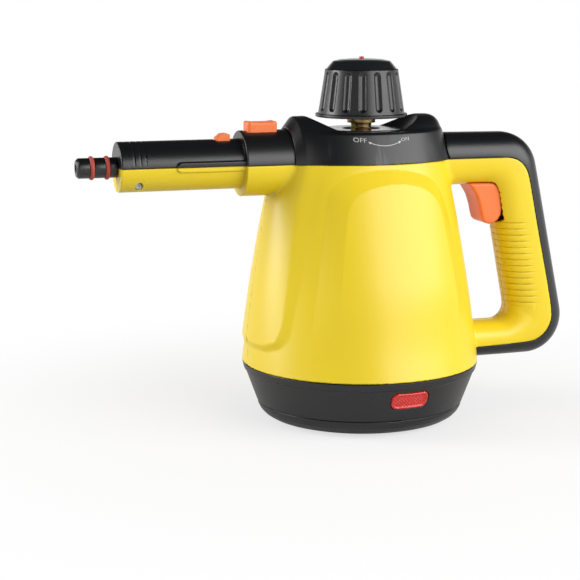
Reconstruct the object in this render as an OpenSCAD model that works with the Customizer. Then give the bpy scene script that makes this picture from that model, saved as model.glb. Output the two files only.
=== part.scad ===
/* [Body] */
// Widest diameter, at the joint between base and body
base_d = 145; // [138:1:152]
// Height of that joint above the floor
joint_z = 35.7; // [34:0.1:38]
// Height of the parting plane, which is also the barrel's axis
split_z = 158.1; // [156:0.1:161]
// Half length of the oval top of the body, front to back
shoulder_a = 53.2; // [52:0.1:55]
// Half width of the oval top of the body
shoulder_b = 36; // [35:0.1:38]
// How far the front and the back bow outwards
bow = 2; // [1:0.1:3]
// Wall of the moulded casings
wall = 2.4; // [2:0.1:2.8]
// How far the panels on the sides stand out
side_raise = 1.1; // [0.6:0.1:1.3]
// How far the panel at the front stands out
front_raise = 0.8; // [0.4:0.1:1]

/* [Base] */
// Diameter of the flat underside
foot_d = 100; // [94:1:104]
// Height of the seam between pan and ring
pan_h = 11; // [10:0.1:13]
// Diameter of each rubber foot
pad_d = 12; // [10:0.5:14]
// How far a rubber foot stands below the pan
pad_drop = 1; // [0.6:0.1:1.4]
// Length of the red lens
lens_l = 26; // [22:1:28]
// Height of the red lens
lens_h = 11; // [9:0.5:12]
// How far round from the left side the lens sits
lens_turn = 6.8; // [0:0.2:15]
// Bore of the gland for the mains cord
gland_bore = 7; // [6:0.1:8]

/* [Top cover] */
// Radius of the hood round the barrel
hood_r = 27.2; // [26.5:0.1:28]
// Distance from the middle to the front face of the hood
hood_front = 50; // [49:0.5:52]
// Height of the well's floor under the filler plate
well_z = 175.5; // [174.5:0.1:176.5]
// Slope of the well's flared wall
well_slope = 46; // [42:1:48]

/* [Barrel] */
// Diameter of the slim part that accessories slide over
slim_d = 29.4; // [28.6:0.1:30]
// Diameter of the thick part behind it
thick_d = 38.8; // [38:0.1:40]
// Distance from the middle to the barrel's front face
barrel_front = 150; // [146:0.1:152]
// Distance from the middle to the step between the two diameters
barrel_step = 76.8; // [75:0.1:78]
// Length of the guide rail on each side
rail_l = 41; // [36:1:44]
// Diameter of the nozzle tube
tube_d = 11.8; // [11.4:0.1:12.2]
// Bore of the nozzle tube
tube_bore = 5; // [4:0.1:5.4]
// How far the nozzle tube stands out of the barrel
tube_out = 23.7; // [22:0.1:26]
// Thickness of an O-ring
ring_t = 2.6; // [2.2:0.1:2.8]

/* [Handle] */
// Width of the handle
handle_w = 31; // [30:0.5:33]
// Distance from the middle to the outer lower corner of the loop
loop_x = 140; // [138:0.5:142]
// How far the back of the loop leans from the lower to the upper corner
loop_lean = 27; // [25:0.5:29]
// Height of the loop's top edge
loop_top = 172.6; // [171.5:0.1:173.5]
// Height of the loop's lowest edge
loop_bottom = 32.2; // [31.6:0.1:32.8]
// Depth of the grip at its foot, from the finger side to the back
grip_t = 35.5; // [34:0.5:36]
// How much less deep the grip is at its upper end
grip_taper = 3; // [2:0.5:4]
// Height of the upper arm
upper_t = 31.6; // [31:0.1:32]
// Height of the lower arm
lower_t = 22.2; // [21:0.1:23]
// Outer corner radius of the loop
loop_r = 24; // [22:0.5:26]

/* [Trigger] */
// How far the trigger reaches down from the loop's upper inner corner
trigger_drop = 24.6; // [23:0.2:27]
// Width of the trigger
trigger_w = 20; // [18:0.5:20.5]
// Angle through which the trigger is pulled
pull = 10; // [8:0.5:10]
// Diameter of the trigger's pin
pin_d = 4; // [3.4:0.1:4.4]
// Thickness of the link between trigger and valve
link_t = 2.5; // [2:0.1:2.8]

/* [Latch] */
// Width of the release button
button_w = 11; // [9:0.5:12]
// Length of the release button
button_l = 18.5; // [17:0.5:19]
// How far the button stands out of the barrel
button_out = 5.2; // [4.6:0.1:5.6]
// How far the tooth stands out of the slim barrel
tooth_out = 3.5; // [3:0.1:3.6]

/* [Filler cap] */
// Widest diameter of the cap, at its rim
cap_d = 55.2; // [54:0.2:56]
// Height of the cap from its rim to the shoulder
cap_h = 28.2; // [26:0.2:30]
// Diameter of the cap's shoulder
cap_top_d = 43.8; // [42:0.2:45]
// Number of flutes round the cap
flutes = 16; // [12:1:18]
// Gap under the cap as it stands, partly unscrewed
cap_gap = 7.2; // [6.8:0.1:7.6]
// Diameter of the threaded plug
plug_d = 13; // [12.6:0.1:13.2]
// Travel of the press-and-turn lock
press = 2.5; // [2:0.1:2.5]
// Diameter of the filler plate
plate_d = 49.4; // [48:0.2:50]
// Thickness of the filler plate
plate_t = 1.5; // [1.2:0.1:1.8]

/* [Boiler] */
// Outer diameter of the boiler
boiler_d = 80; // [76:1:82]
// Height of the boiler's underside
boiler_z = 44; // [43:0.5:46]
// Height of the boiler, without its neck
boiler_h = 90; // [88:0.5:91]
// Wall of the boiler
boiler_wall = 1.6; // [1.2:0.1:2]
// Number of bolts that close the boiler
boiler_bolts = 6; // [4:1:8]

/* [Hidden] */

$fn = 48;
fit = 0.1;        // radial clearance of a running fit
gap = 0.3;        // clearance between pieces that pass each other
e = 0.01;         // overshoot of a cut
far = 400;        // reach of a cut that goes right through

base_r = base_d / 2;
body_h = split_z - joint_z;
slim_r = slim_d / 2;
thick_r = thick_d / 2;
tube_r = tube_d / 2;
stub_r = tube_r - 0.6;
plug_r = plug_d / 2;
tip_x = barrel_front + tube_out;

yellow = "#f4d326";
black = "#26272a";
orange = "#f9803f";
red = "#dd1e10";
brass = "#a8894f";
steel = "#b9bcc0";
alloy = "#c9ccd0";
rubber = "#2b2b2b";
seal_red = "#c0504d";

// ---- outline functions ----

// Share of the way up the body, 0 at the joint and 1 at the parting plane
function up(z) = (z - joint_z) / body_h;
function body_a(z) = base_r + (shoulder_a - base_r) * up(z) + 4 * bow * up(z) * (1 - up(z));
function body_b(z) = base_r + (shoulder_b - base_r) * up(z) + bow * up(z) * (1 - up(z));

function ellipse(a, b, z, n = 56) = [for (i = [0 : n - 1]) [a * cos(360 * i / n), b * sin(360 * i / n), z]];

// Superellipse power: 2 is an ellipse and larger numbers are boxier
function pow_sign(v, p) = sign(v) * pow(abs(v), p);
squareness = 2.4;

function lerp(a, b, t) = a + (b - a) * t;

// Points of a rounded corner at p between unit directions d_in and d_out, radius r, k steps
function corner(p, d_in, d_out, r, k) =
    let (turn = acos(d_in * d_out), t = r * tan(turn / 2), s = p - d_in * t,
         side = sign(d_in[0] * d_out[1] - d_in[1] * d_out[0]),
         c = s + side * r * [-d_in[1], d_in[0]])
    [for (i = [0 : k]) let (a = side * turn * i / k, v = s - c)
        c + [v[0] * cos(a) - v[1] * sin(a), v[0] * sin(a) + v[1] * cos(a)]];

function unit(v) = v / norm(v);

// ---- general solids ----

// Skins closed rings of points, each ring in turn, and closes both ends
module skin(rings) {
    n = len(rings[0]);
    m = len(rings);
    sides = [for (j = [0 : m - 2]) for (i = [0 : n - 1]) for (k = [0, 1])
        let (a = j * n + i, b = j * n + (i + 1) % n)
        k == 0 ? [a, b + n, b] : [a, a + n, b + n]];
    polyhedron(points = [for (r = rings) each r],
        faces = concat([[for (i = [0 : n - 1]) i]], [[for (i = [n - 1 : -1 : 0]) (m - 1) * n + i]], sides));
}

module rod_x(r, x0, x1, z = split_z) {
    translate([x0, 0, z]) rotate([0, 90, 0]) cylinder(r = r, h = x1 - x0);
}

module rod_y(r, y0, y1, x, z) {
    translate([x, y1, z]) rotate([90, 0, 0]) cylinder(r = r, h = y1 - y0);
}

module ring(r_out, r_in, h) {
    difference() {
        cylinder(r = r_out, h = h);
        translate([0, 0, -e]) cylinder(r = r_in, h = h + 2 * e);
    }
}

module box(low, high) {
    translate(low) cube(high - low);
}

module below(z) {
    box([-far, -far, -far], [far, far, z]);
}

module above(z) {
    box([-far, -far, z], [far, far, far]);
}

module screw(head_r, head_h, shank_r, length) {
    cylinder(r = shank_r, h = length);
    translate([0, 0, -head_h]) difference() {
        cylinder(r = head_r, h = head_h);
        for (a = [0, 90]) rotate(a) translate([-head_r * 0.6, -head_r * 0.15, -e])
            cube([head_r * 1.2, head_r * 0.3, head_h * 0.5]);
    }
}

// ---- body ----

body_levels = [0, 0.2, 0.4, 0.6, 0.8, 1];

module body_form(inset) {
    low = joint_z - (inset > 0 ? e : 0);
    skin([for (t = body_levels) let (z = low + (split_z - low) * t)
        ellipse(body_a(z) - inset, body_b(z) - inset, z)]);
}

// Half of the arch of a side panel, as [half width, height below the parting plane]
arch_x = 6;
arch = [[0, 6], [19, 8], [28.5, 13], [34, 20.6], [38.5, 43], [46, 96], [42, 102], [34, 104]];

// Half of the outline of the front panel, in the same way
shield = [[25, 0], [27, 23], [30.5, 45], [33.8, 71], [36, 96], [35, 101], [30, 106], [18, 108.6]];

module mirrored(half) {
    polygon(concat([for (p = half) [p[0], split_z - p[1]]],
        [for (i = [len(half) - 1 : -1 : 0]) [-half[i][0], split_z - half[i][1]]]));
}

module side_panels() {
    intersection() {
        body_form(-side_raise);
        for (s = [-1, 1]) scale([1, s, 1]) translate([arch_x, -20, 0]) rotate([90, 0, 0])
            linear_extrude(60) mirrored(arch);
    }
}

module front_panel() {
    intersection() {
        body_form(-front_raise);
        translate([-10, 0, 0]) rotate([90, 0, -90]) linear_extrude(80) mirrored(shield);
    }
}

// ---- handle ----

grip_dir = unit([loop_lean, loop_bottom - loop_top]);
grip_side = [grip_dir[1], -grip_dir[0]];
outer_top = [loop_x - loop_lean, loop_top];
outer_low = [loop_x, loop_bottom];
back_top = outer_top - [grip_taper, 0];
back_dir = unit(outer_low - back_top);
right = [1, 0];

// Inner corners follow the outer ones at the thickness of the grip and of the two arms
function on_grip(z) = let (s = (z - outer_top[1]) / grip_dir[1])
    outer_top + grip_dir * s + [-grip_t / abs(grip_side[0]), 0];
inner_top = on_grip(loop_top - upper_t);
inner_low = on_grip(loop_bottom + lower_t);
inner_r = 8;
arm_start = 40;
steps = 5;

outer_line = concat([[arm_start, loop_top + 1]], corner(back_top, right, back_dir, loop_r, steps),
    corner(outer_low, back_dir, -right, loop_r, steps), [[arm_start + 18, loop_bottom]]);
inner_line = concat([[arm_start, inner_top[1]]], corner(inner_top, right, grip_dir, inner_r, steps),
    corner(inner_low, grip_dir, -right, inner_r, steps), [[arm_start + 18, inner_low[1]]]);
stations = len(outer_line);

// Where the black back cover begins, as a share of the way from the finger side to the back
split_upper = (split_z - inner_top[1]) / (loop_top - inner_top[1]);
split_grip = 0.67;
split_lower = 0.62;
function back_share(i) = i == 0 ? (split_z - inner_top[1]) / (loop_top + 1 - inner_top[1])
    : i == 1 ? split_upper
    : i <= steps ? lerp(split_upper, split_grip, (i - 1) / steps)
    : i <= steps + 2 ? split_grip
    : lerp(split_grip, split_lower, min(1, (i - steps - 2) / steps));

// One cross-section of the loop, inset from its outside
function loop_section(i, inset, n = 24) =
    let (a = inner_line[i], b = outer_line[i], mid = (a + b) / 2, d = unit(b - a),
         hu = norm(b - a) / 2 - inset, hw = handle_w / 2 - inset)
    [for (k = [0 : n - 1]) let (c = pow_sign(cos(360 * k / n), 2 / squareness),
        s = pow_sign(sin(360 * k / n), 2 / squareness), p = mid + d * hu * c)
        [p[0], hw * s, p[1]]];

module loop_form(inset) {
    skin([for (i = [stations - 1 : -1 : 0]) loop_section(i, inset)]);
}

// The same loop as a chain of convex stretches
module loop_chain(inset) {
    for (i = [0 : stations - 2]) hull() skin([loop_section(i, inset), loop_section(i + 1, inset)]);
}

// Everything behind the line where the back cover meets the shells
function back_section(i, shift) =
    let (a = inner_line[i], b = outer_line[i], d = unit(b - a), p = a + (b - a) * back_share(i) + d * shift,
         q = b + d * 6)
    [[p[0], -far / 8, p[1]], [p[0], far / 8, p[1]], [q[0], far / 8, q[1]], [q[0], -far / 8, q[1]]];

module loop_back(shift = 0) {
    skin([for (i = [0 : stations - 1]) back_section(i, shift)]);
}

// ---- barrel ----

module barrel_form(grow) {
    rod_x(slim_r + grow, -barrel_front - grow, -barrel_step + 2);
    rod_x(thick_r + grow, -barrel_step - grow, -hood_front + 12);
}

module rails() {
    for (s = [-1, 1]) {
        rail_r = 2.85;
        end = barrel_step + rail_l - rail_r;
        y0 = s > 0 ? slim_r - 1.6 : -slim_r - 1;
        y1 = s > 0 ? slim_r + 1 : -slim_r + 1.6;
        rod_y(rail_r, y0, y1, -end, split_z);
        box([-end, y0, split_z - rail_r], [-barrel_step + e, y1, split_z + rail_r]);
    }
}

// The barrel's inside, closed at the front by a wall that holds the nozzle tube
module barrel_hollow() {
    rod_x(slim_r - wall, -barrel_front + wall, -barrel_step + wall + 1);
    rod_x(thick_r - wall, -barrel_step + wall, -hood_front + 20);
    rod_x(stub_r + fit, -barrel_front - e, -barrel_front + wall + e);
}

// ---- trigger place ----

pivot = [80, split_z - 8];
lever_r = 10;
nose_r = 3;
hub_r = 5.5;
hub_w = 10;

trigger_low = inner_top[1] - trigger_drop;
finger_top = inner_top[1] + 3.2;
core_w = 12;

// Finger piece seen from the side, from its front edge round the bottom to the back
finger = [
    [pivot[0] - 14.6, finger_top], [pivot[0] - 14.6, finger_top - 3], [pivot[0] - 11.8, inner_top[1] - 3.4],
    [pivot[0] - 8.9, inner_top[1] - 7.4], [pivot[0] - 6.6, inner_top[1] - 14],
    [pivot[0] - 4.6, trigger_low + 2.2], [pivot[0] - 2.4, trigger_low + 0.2], [pivot[0] + 5, trigger_low - 0.2],
    [pivot[0] + 9.6, trigger_low + 1.4], [pivot[0] + 12, trigger_low + 4.4], [pivot[0] + 12, inner_top[1] - 9],
    [pivot[0] + 10.4, inner_top[1] - 4], [pivot[0] + 6, finger_top]
];
core = [
    [pivot[0] - 9, finger_top - 4], [pivot[0] + 4, finger_top - 4], [pivot[0] + 4, pivot[1]], [pivot[0] - 4, pivot[1]]
];

// The outline, which runs anticlockwise, with each side moved out by d
function grown(line, d) = let (n = len(line))
    [for (i = [0 : n - 1]) let (b = line[i], p = unit(b - line[(i + n - 1) % n]), q = unit(line[(i + 1) % n] - b),
        u = [-p[1], p[0]], v = [-q[1], q[0]])
        b - (u + v) * d / (1 + u * v)];

module plate_y(outline, grow, w) {
    rotate([90, 0, 0]) translate([0, 0, -w / 2]) linear_extrude(w) polygon(grown(outline, grow));
}

module finger_part(grow, w) {
    plate_y(finger, grow, w);
}

module core_part(grow, w) {
    plate_y(core, grow, w);
}

// Room that the trigger needs in the handle, over its whole travel
module trigger_room() {
    for (a = [0, -pull / 2, -pull])
        translate([pivot[0], 0, pivot[1]]) rotate([0, a, 0]) translate([-pivot[0], 0, -pivot[1]]) {
            finger_part(gap + 0.1, trigger_w + 2 * gap);
            core_part(gap + 0.1, core_w + 2 * gap);
        }
}

pin_reach = handle_w / 2 - wall - 1;
spring_z = inner_top[1] - 13;
spring_seat = pivot[0] + 24;

// ---- latch place ----

latch_pivot = [-42, split_z + 10];
latch_bar_z = split_z + 8.2;
latch_bar_t = 3.4;
latch_bar_w = 8;
button_mid = -63.5;
tooth_x = -87;
tooth_l = 8;
latch_turn = 4.5;
latch_pin_r = 1.5;
latch_hub_r = 3;
ear_t = 2.5;

// ---- cap place ----

plate_z = well_z + plate_t;
cap_z = plate_z + cap_gap;
well_r = plate_d / 2 + 1.4;
cap_r = cap_d / 2;
cap_top_r = cap_top_d / 2;
cap_shoulder = cap_z + cap_h;
cap_wall = 2.4;
hole_r = plug_r + 4.7;
neck_r = hole_r - 0.6;
gasket_t = 1.6;
flange_r = plug_r + 2;
flange_t = 2.6;
flange_z = cap_z - 3.6;
close_drop = cap_gap - press - 0.2;
neck_top = flange_z - close_drop - gasket_t;
shank_r = 5;
spring_top = flange_z + flange_t + 10;
head_r = 8;
hub_floor = 3;
thread_hold = 6;

// ---- boiler place ----

boiler_r = boiler_d / 2;
boiler_top = boiler_z + boiler_h;
flange_w = 8;
flange_mid = boiler_z + boiler_h * 0.46;
lip_t = 2;
seal_t = 1.5;
dome_r = 12;
bolt_r = 2;
bolt_head_r = 3.4;
bolt_head_h = 3;
bolt_at = boiler_r + flange_w / 2 + 0.5;

// ---- shells ----

module shell_outer() {
    body_form(0);
    side_panels();
    front_panel();
    intersection() {
        union() {
            barrel_form(0);
            rails();
        }
        below(split_z);
    }
    difference() {
        intersection() {
            loop_form(0);
            below(split_z);
        }
        loop_back();
    }
}

module shell_hollow() {
    body_form(wall);
    barrel_hollow();
    loop_form(wall);
}

screw_front = [11 - barrel_front, split_z - slim_r + 4.3];
screw_root = [20 - barrel_step, split_z - thick_r + 1.6];
boss_r = 3.2;
front_shank_r = 1.05;
front_head_r = 1.95;
front_head_h = 1.5;
front_screw_l = 12;
front_head = -slim_r + 7.5;
root_shank_r = 0.75;
root_head_r = 1.4;
root_head_h = 1;
root_screw_l = 8;
root_half = sqrt(pow(thick_r, 2) - pow(split_z - screw_root[1], 2));
root_head = -root_half + 3.4;

// Drafted pillars for the screws of the base ring, tied to the wall above the ring's lip
module ring_pillars() {
    for (a = ring_screw_turns) rotate(a) translate([ring_screw_at, 0, 0]) {
        hull() {
            translate([0, 0, joint_z]) cylinder(r = 3.6, h = 1, $fn = 24);
            translate([0, 0, joint_z + ring_screw_l + 3]) cylinder(r = 3.4, h = 1, $fn = 24);
        }
        hull() {
            translate([0, 0, joint_z + lip_h + 0.4]) cylinder(r = 3.6, h = 10, $fn = 24);
            translate([7, 0, joint_z + lip_h + 0.4]) cylinder(r = 1, h = 6, $fn = 8);
        }
    }
}

// Bosses of the trigger's pin, seat of its spring and ledges under the link
module handle_fittings() {
    intersection() {
        loop_form(wall / 2);
        union() {
            rod_y(pin_d / 2 + 2, -handle_w, handle_w, pivot[0], pivot[1]);
            box([spring_seat, -handle_w, spring_z - 6], [spring_seat + wall, handle_w, spring_z + 6]);
            for (s = [-1, 1]) scale([1, s, 1]) box([60, tongue - 2, link_low - 7], [64, handle_w, link_low - 0.1]);
        }
    }
}

// Bosses of the two screws that join the halves of the barrel
module barrel_bosses() {
    intersection() {
        barrel_form(-wall / 2);
        union() {
            rod_y(boss_r, -slim_r, slim_r, screw_front[0], screw_front[1]);
            rod_y(boss_r, -thick_r, thick_r, screw_root[0], screw_root[1]);
        }
    }
}

module shell_half(side) {
    difference() {
        union() {
            difference() {
                shell_outer();
                shell_hollow();
            }
            ring_pillars();
            handle_fittings();
            barrel_bosses();
        }
        trigger_room();
        // room between the two trigger bosses
        translate([pivot[0], 0, pivot[1]]) rotate([90, 0, 0]) translate([0, 0, -hub_w / 2 - gap])
            cylinder(r = hub_r + 1.5, h = hub_w + 2 * gap);
        rod_y(pin_d / 2 + fit, -pin_reach - 0.1, pin_reach + 0.1, pivot[0], pivot[1]);
        // screw holes: recess and shank
        rod_y(front_head_r + 0.15, -slim_r, front_head, screw_front[0], screw_front[1]);
        rod_y(front_shank_r + 0.05, -slim_r, front_head + front_screw_l + 0.4, screw_front[0], screw_front[1]);
        rod_y(root_head_r + 0.05, -root_half - 1, root_head, screw_root[0], screw_root[1]);
        rod_y(root_shank_r + 0.05, -root_half, root_head + root_screw_l + 0.2, screw_root[0], screw_root[1]);
        for (a = ring_screw_turns) rotate(a) translate([ring_screw_at, 0, joint_z - e])
            cylinder(r = screw_r + 0.05, h = ring_screw_l + 0.5, $fn = 24);
        above(split_z);
        below(joint_z);
        box([-far, side > 0 ? -far : 0, -far], [far, side > 0 ? 0 : far, far]);
    }
}

module body_shell_left() {
    color(yellow) shell_half(-1);
}

module body_shell_right() {
    color(yellow) shell_half(1);
}

// ---- covers ----

module dome_form(inset) {
    hull() {
        translate([0, 0, split_z]) scale([shoulder_a - inset, shoulder_b - inset, 1]) cylinder(r = 1, h = 0.6, $fn = 56);
        translate([-0.5, 0, well_z + 0.4 - inset]) scale([shoulder_a - 4.5 - inset, 29.2 - inset, 1])
            cylinder(r = 1, h = 0.6, $fn = 48);
        intersection() {
            union() {
                rod_x(hood_r - inset, -hood_front + 2 + inset, 43 - inset, $fn = 64);
                rod_x(hood_r - 1.5 - inset, -hood_front + inset, 47 - inset, $fn = 64);
            }
            above(split_z);
        }
    }
}

// Ears inside the hood that carry the latch's pin
module latch_ears() {
    intersection() {
        dome_form(1);
        for (s = [-1, 1]) scale([1, s, 1]) hull() {
            rod_y(3.4, latch_bar_w / 2 + gap, latch_bar_w / 2 + gap + ear_t, latch_pivot[0], latch_pivot[1]);
            translate([latch_pivot[0] - 3.4, latch_bar_w / 2 + gap, split_z + hood_r - 3]) cube([6.8, ear_t, 2]);
        }
    }
}

module top_cover() {
    color(black) difference() {
        union() {
            cover_wall();
            latch_ears();
        }
        rod_y(latch_pin_r + 0.05, -20, 20, latch_pivot[0], latch_pivot[1]);
    }
}

module cover_wall() {
    difference() {
        dome_form(0);
        difference() {
            translate([0, 0, -e]) dome_form(wall);
            // the well's floor and wall are left standing
            translate([0, 0, well_z - wall]) cylinder(r1 = well_r + 1.6, h = wall + 10,
                r2 = well_r + 1.6 + (wall + 10) / tan(well_slope));
        }
        translate([0, 0, well_z]) cylinder(r1 = well_r, h = 20, r2 = well_r + 20 / tan(well_slope));
        translate([0, 0, well_z - wall - e]) cylinder(r = hole_r + 1, h = wall + 2 * e);
        rod_x(thick_r + fit, -hood_front - 8, -hood_front + wall + 4);
        loop_chain(wall);
    }
}

module barrel_cover() {
    color(black) difference() {
        union() {
            barrel_form(0);
            rails();
        }
        barrel_hollow();
        below(split_z);
        box([-hood_front + wall + 1.5, -far, 0], [far, far, far]);
        // slots of the button and the tooth
        box([button_mid - button_l / 2 - gap - 1, -button_w / 2 - gap, split_z],
            [button_mid + button_l / 2 + gap, button_w / 2 + gap, far]);
        box([tooth_x - tooth_l / 2 - gap - 0.8, -latch_bar_w / 2 - gap, split_z],
            [tooth_x + tooth_l / 2 + gap, latch_bar_w / 2 + gap, far]);
    }
}

module handle_cover() {
    color(black) difference() {
        intersection() {
            loop_chain(0);
            loop_back();
        }
        loop_chain(wall);
        dome_form(-fit);
        body_form(-fit);
        ring_cone(gap);
    }
}

// ---- base ----

ring_taper = 20.3;
foot_r = foot_d / 2;
seam_r = base_r - (joint_z - pan_h) * tan(ring_taper);
function ring_r(z) = base_r - (joint_z - z) * tan(ring_taper);
lip_h = 3.5;
lip_r = body_b(joint_z + lip_h) - wall - 0.2;
lens_z = 23.2;
gland_z = 21;
gland_turn = 40;
gland_r = gland_bore / 2 + 3;
pan_floor = pad_drop + wall;
pan_screw_at = 46;
ring_screw_at = base_r - 11;
ring_screw_turns = [50, 130, 230, 310];
ledge_t = 2.4;
ring_screw_l = 10;

// Places its children on the ring's wall, with +Z pointing out of the wall
module on_ring(turn, z) {
    rotate(turn) translate([ring_r(z), 0, z]) rotate([0, 90 + ring_taper, 0]) children();
}

module rounded_rect(l, h, r) {
    square([l - 2 * r, h], center = true);
    square([l, h - 2 * r], center = true);
    for (x = [-1, 1], y = [-1, 1]) translate([x * (l / 2 - r), y * (h / 2 - r)]) circle(r = r);
}

// Band that follows the ring's wall between two offsets from its outside
module wall_band(inner, outer) {
    rotate_extrude() polygon([
        [ring_r(pan_h) + inner, pan_h], [ring_r(pan_h) + outer, pan_h],
        [base_r + outer, joint_z], [base_r + inner, joint_z]]);
}

module ring_cone(grow) {
    rotate_extrude() polygon([[0, 5], [ring_r(5) + grow, 5], [base_r + grow, joint_z + e], [0, joint_z + e]]);
}

module lens_prism(grow) {
    on_ring(lens_turn - 90, lens_z) translate([0, 0, -10]) linear_extrude(20)
        rounded_rect(lens_h + 2 * grow, lens_l + 2 * grow, 4 + grow);
}

module base_ring() {
    color(black) difference() {
        union() {
            rotate_extrude() polygon([
                [seam_r, pan_h], [base_r, joint_z], [lip_r, joint_z], [lip_r, joint_z + lip_h],
                [lip_r - 1.6, joint_z + lip_h], [lip_r - 1.6, joint_z - 1.5],
                [ring_r(joint_z - 4) - wall, joint_z - 4], [seam_r - wall, pan_h]]);
            intersection() {
                for (a = [0 : 90 : 270]) rotate(a) {
                    box([pan_screw_at - 5, -6, pan_h], [far, 6, pan_h + ledge_t]);
                    translate([pan_screw_at, 0, pan_h]) cylinder(r = 4.5, h = 10);
                }
                rotate_extrude() polygon([[0, pan_h], [seam_r - 1, pan_h], [base_r - 1, joint_z], [0, joint_z]]);
            }
            intersection() {
                for (a = ring_screw_turns) rotate(a)
                    box([ring_screw_at - 5, -6, joint_z - ledge_t], [far, 6, joint_z]);
                rotate_extrude() polygon([[0, pan_h], [seam_r - 1, pan_h], [base_r - 1, joint_z], [0, joint_z]]);
            }
        }
        for (a = [0 : 90 : 270]) rotate(a) translate([pan_screw_at, 0, pan_h - e]) cylinder(r = screw_r + 0.05, h = 9);
        for (a = ring_screw_turns) rotate(a) translate([ring_screw_at, 0, joint_z - ledge_t - e])
            cylinder(r = screw_r + fit, h = ledge_t + 2 * e);
        lens_prism(0.15);
        on_ring(gland_turn, gland_z) translate([0, 0, -10]) cylinder(r = gland_r + fit, h = 20);
    }
}

// Outline of the pan's rounded edge between the flat underside and the seam
function pan_curve(inset) = [for (t = [0 : 15 : 90])
    [foot_r - inset + (seam_r - foot_r) * sin(t), pan_h - (pan_h - pad_drop - inset) * cos(t)]];

pad_at = 34;
pad_sink = 1.2;
centre_pad = 14;

module base_pan() {
    color(black) difference() {
        union() {
            difference() {
                rotate_extrude() polygon(concat([[0, pad_drop]], pan_curve(0), [[0, pan_h]]));
                rotate_extrude() polygon(concat([[0, pad_drop + wall]], pan_curve(wall), [[0, pan_h]]));
            }
            cylinder(r = centre_pad, h = pan_floor);
            for (a = [0 : 90 : 270]) rotate(a) translate([pan_screw_at, 0, pad_drop]) cylinder(r = 4.5, h = pan_h - pad_drop);
        }
        for (a = [0 : 90 : 270]) rotate(a) {
            translate([pan_screw_at, 0, 0]) cylinder(r = screw_head_r + 0.4, h = 6);
            translate([pan_screw_at, 0, 0]) cylinder(r = screw_r + fit, h = far);
        }
        for (a = [45 : 90 : 315]) rotate(a) translate([pad_at, 0, 0]) cylinder(r = pad_d / 2 + 0.1, h = pad_drop + pad_sink);
    }
}

module rubber_feet() {
    color(rubber) for (a = [45 : 90 : 315]) rotate(a) translate([pad_at, 0, 0])
        cylinder(r = pad_d / 2, h = pad_drop + pad_sink);
}

screw_r = 1.5;
screw_head_r = 2.9;
screw_head_h = 2;

module pan_screws() {
    color(steel) for (a = [0 : 90 : 270]) rotate(a) translate([pan_screw_at, 0, 6])
        screw(screw_head_r, screw_head_h, screw_r, pan_h + 2);
}

module ring_screws() {
    color(steel) for (a = ring_screw_turns) rotate(a) translate([ring_screw_at, 0, joint_z - ledge_t])
        screw(screw_head_r, screw_head_h, screw_r, ledge_t + ring_screw_l);
}

module shell_screws() {
    color(steel) {
        translate([screw_front[0], front_head, screw_front[1]]) rotate([-90, 0, 0])
            screw(front_head_r, front_head_h, front_shank_r, front_screw_l);
        translate([screw_root[0], root_head, screw_root[1]]) rotate([-90, 0, 0])
            screw(root_head_r, root_head_h, root_shank_r, root_screw_l);
    }
}

module indicator_lens() {
    color(red) {
        intersection() {
            lens_prism(0);
            wall_band(-wall - 1, 0.6);
        }
        intersection() {
            lens_prism(1.5);
            wall_band(-wall - 2, -wall - 0.1);
        }
    }
}

lamp_r = 3;

module indicator_lamp() {
    color("#f0a890") on_ring(lens_turn - 90, lens_z) translate([0, -8, -wall - 2.6 - lamp_r]) rotate([-90, 0, 0]) {
        cylinder(r = lamp_r, h = 12);
        translate([0, 0, 12]) cylinder(r = lamp_r + 0.4, h = 4);
    }
}

module cord_gland() {
    color(black) difference() {
        union() {
            difference() {
                on_ring(gland_turn, gland_z) translate([0, 0, -2]) cylinder(r = gland_r + 2.5, h = 4);
                ring_cone(0.02);
            }
            on_ring(gland_turn, gland_z) translate([0, 0, -wall - 5]) cylinder(r = gland_r, h = wall + 6.5);
        }
        on_ring(gland_turn, gland_z) translate([0, 0, -wall - 6]) cylinder(r = gland_bore / 2, h = wall + 12);
    }
}

module terminal_block() {
    color("#e8e6de") difference() {
        box([-20, 14, pan_floor], [4, 28, pan_floor + 12]);
        for (x = [-16, -8, 0]) translate([x, 21, pan_floor + 5]) cylinder(r = 2, h = 10);
    }
}

// ---- steam path ----

groove_t = ring_t + 0.1;
ring_out = 1.05;
ring_centre_r = tube_r + ring_out - ring_t / 2;
ring_places = [tip_x - 8.8, tip_x - 17.8];
tube_end = 120;
socket_l = 6;
pipe_r = 3;
collar_r = 9;

module nozzle_tube() {
    color(black) difference() {
        union() {
            rod_x(tube_r, -tip_x + 1, -barrel_front);
            rod_x(stub_r, -barrel_front - 1, -tube_end);
            translate([-tip_x, 0, split_z]) rotate([0, 90, 0]) cylinder(r1 = tube_r - 1, r2 = tube_r, h = 1);
            rod_x(collar_r, -barrel_front + wall, -barrel_front + wall + 2.6);
        }
        rod_x(tube_bore / 2, -tip_x - 1, -tube_end + 1);
        rod_x(pipe_r + fit, -tube_end - socket_l, -tube_end + 1);
        for (x = ring_places) difference() {
            rod_x(tube_r + 1, -x - groove_t / 2, -x + groove_t / 2);
            rod_x(ring_centre_r - ring_t / 2, -x - groove_t, -x + groove_t);
        }
    }
}

module o_rings() {
    color(seal_red) for (x = ring_places) translate([-x, 0, split_z]) rotate([0, 90, 0])
        rotate_extrude() translate([ring_centre_r, 0]) circle(r = ring_t / 2);
}

valve_front = -38;
valve_rear = -22;
valve_x = (valve_front + valve_rear) / 2 + 4;
valve_half = 7;
valve_foot = 8;
spigot_l = 5;
bore_r = 4;
rod_r = 2.5;
rod_end = -15.5;
link_travel = lever_r * pull * PI / 180;

module steam_pipe() {
    color(alloy) difference() {
        rod_x(pipe_r, -tube_end - socket_l, valve_front - 0.2);
        rod_x(pipe_r - 1.2, -tube_end - socket_l - 1, valve_front + 1);
    }
}

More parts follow.
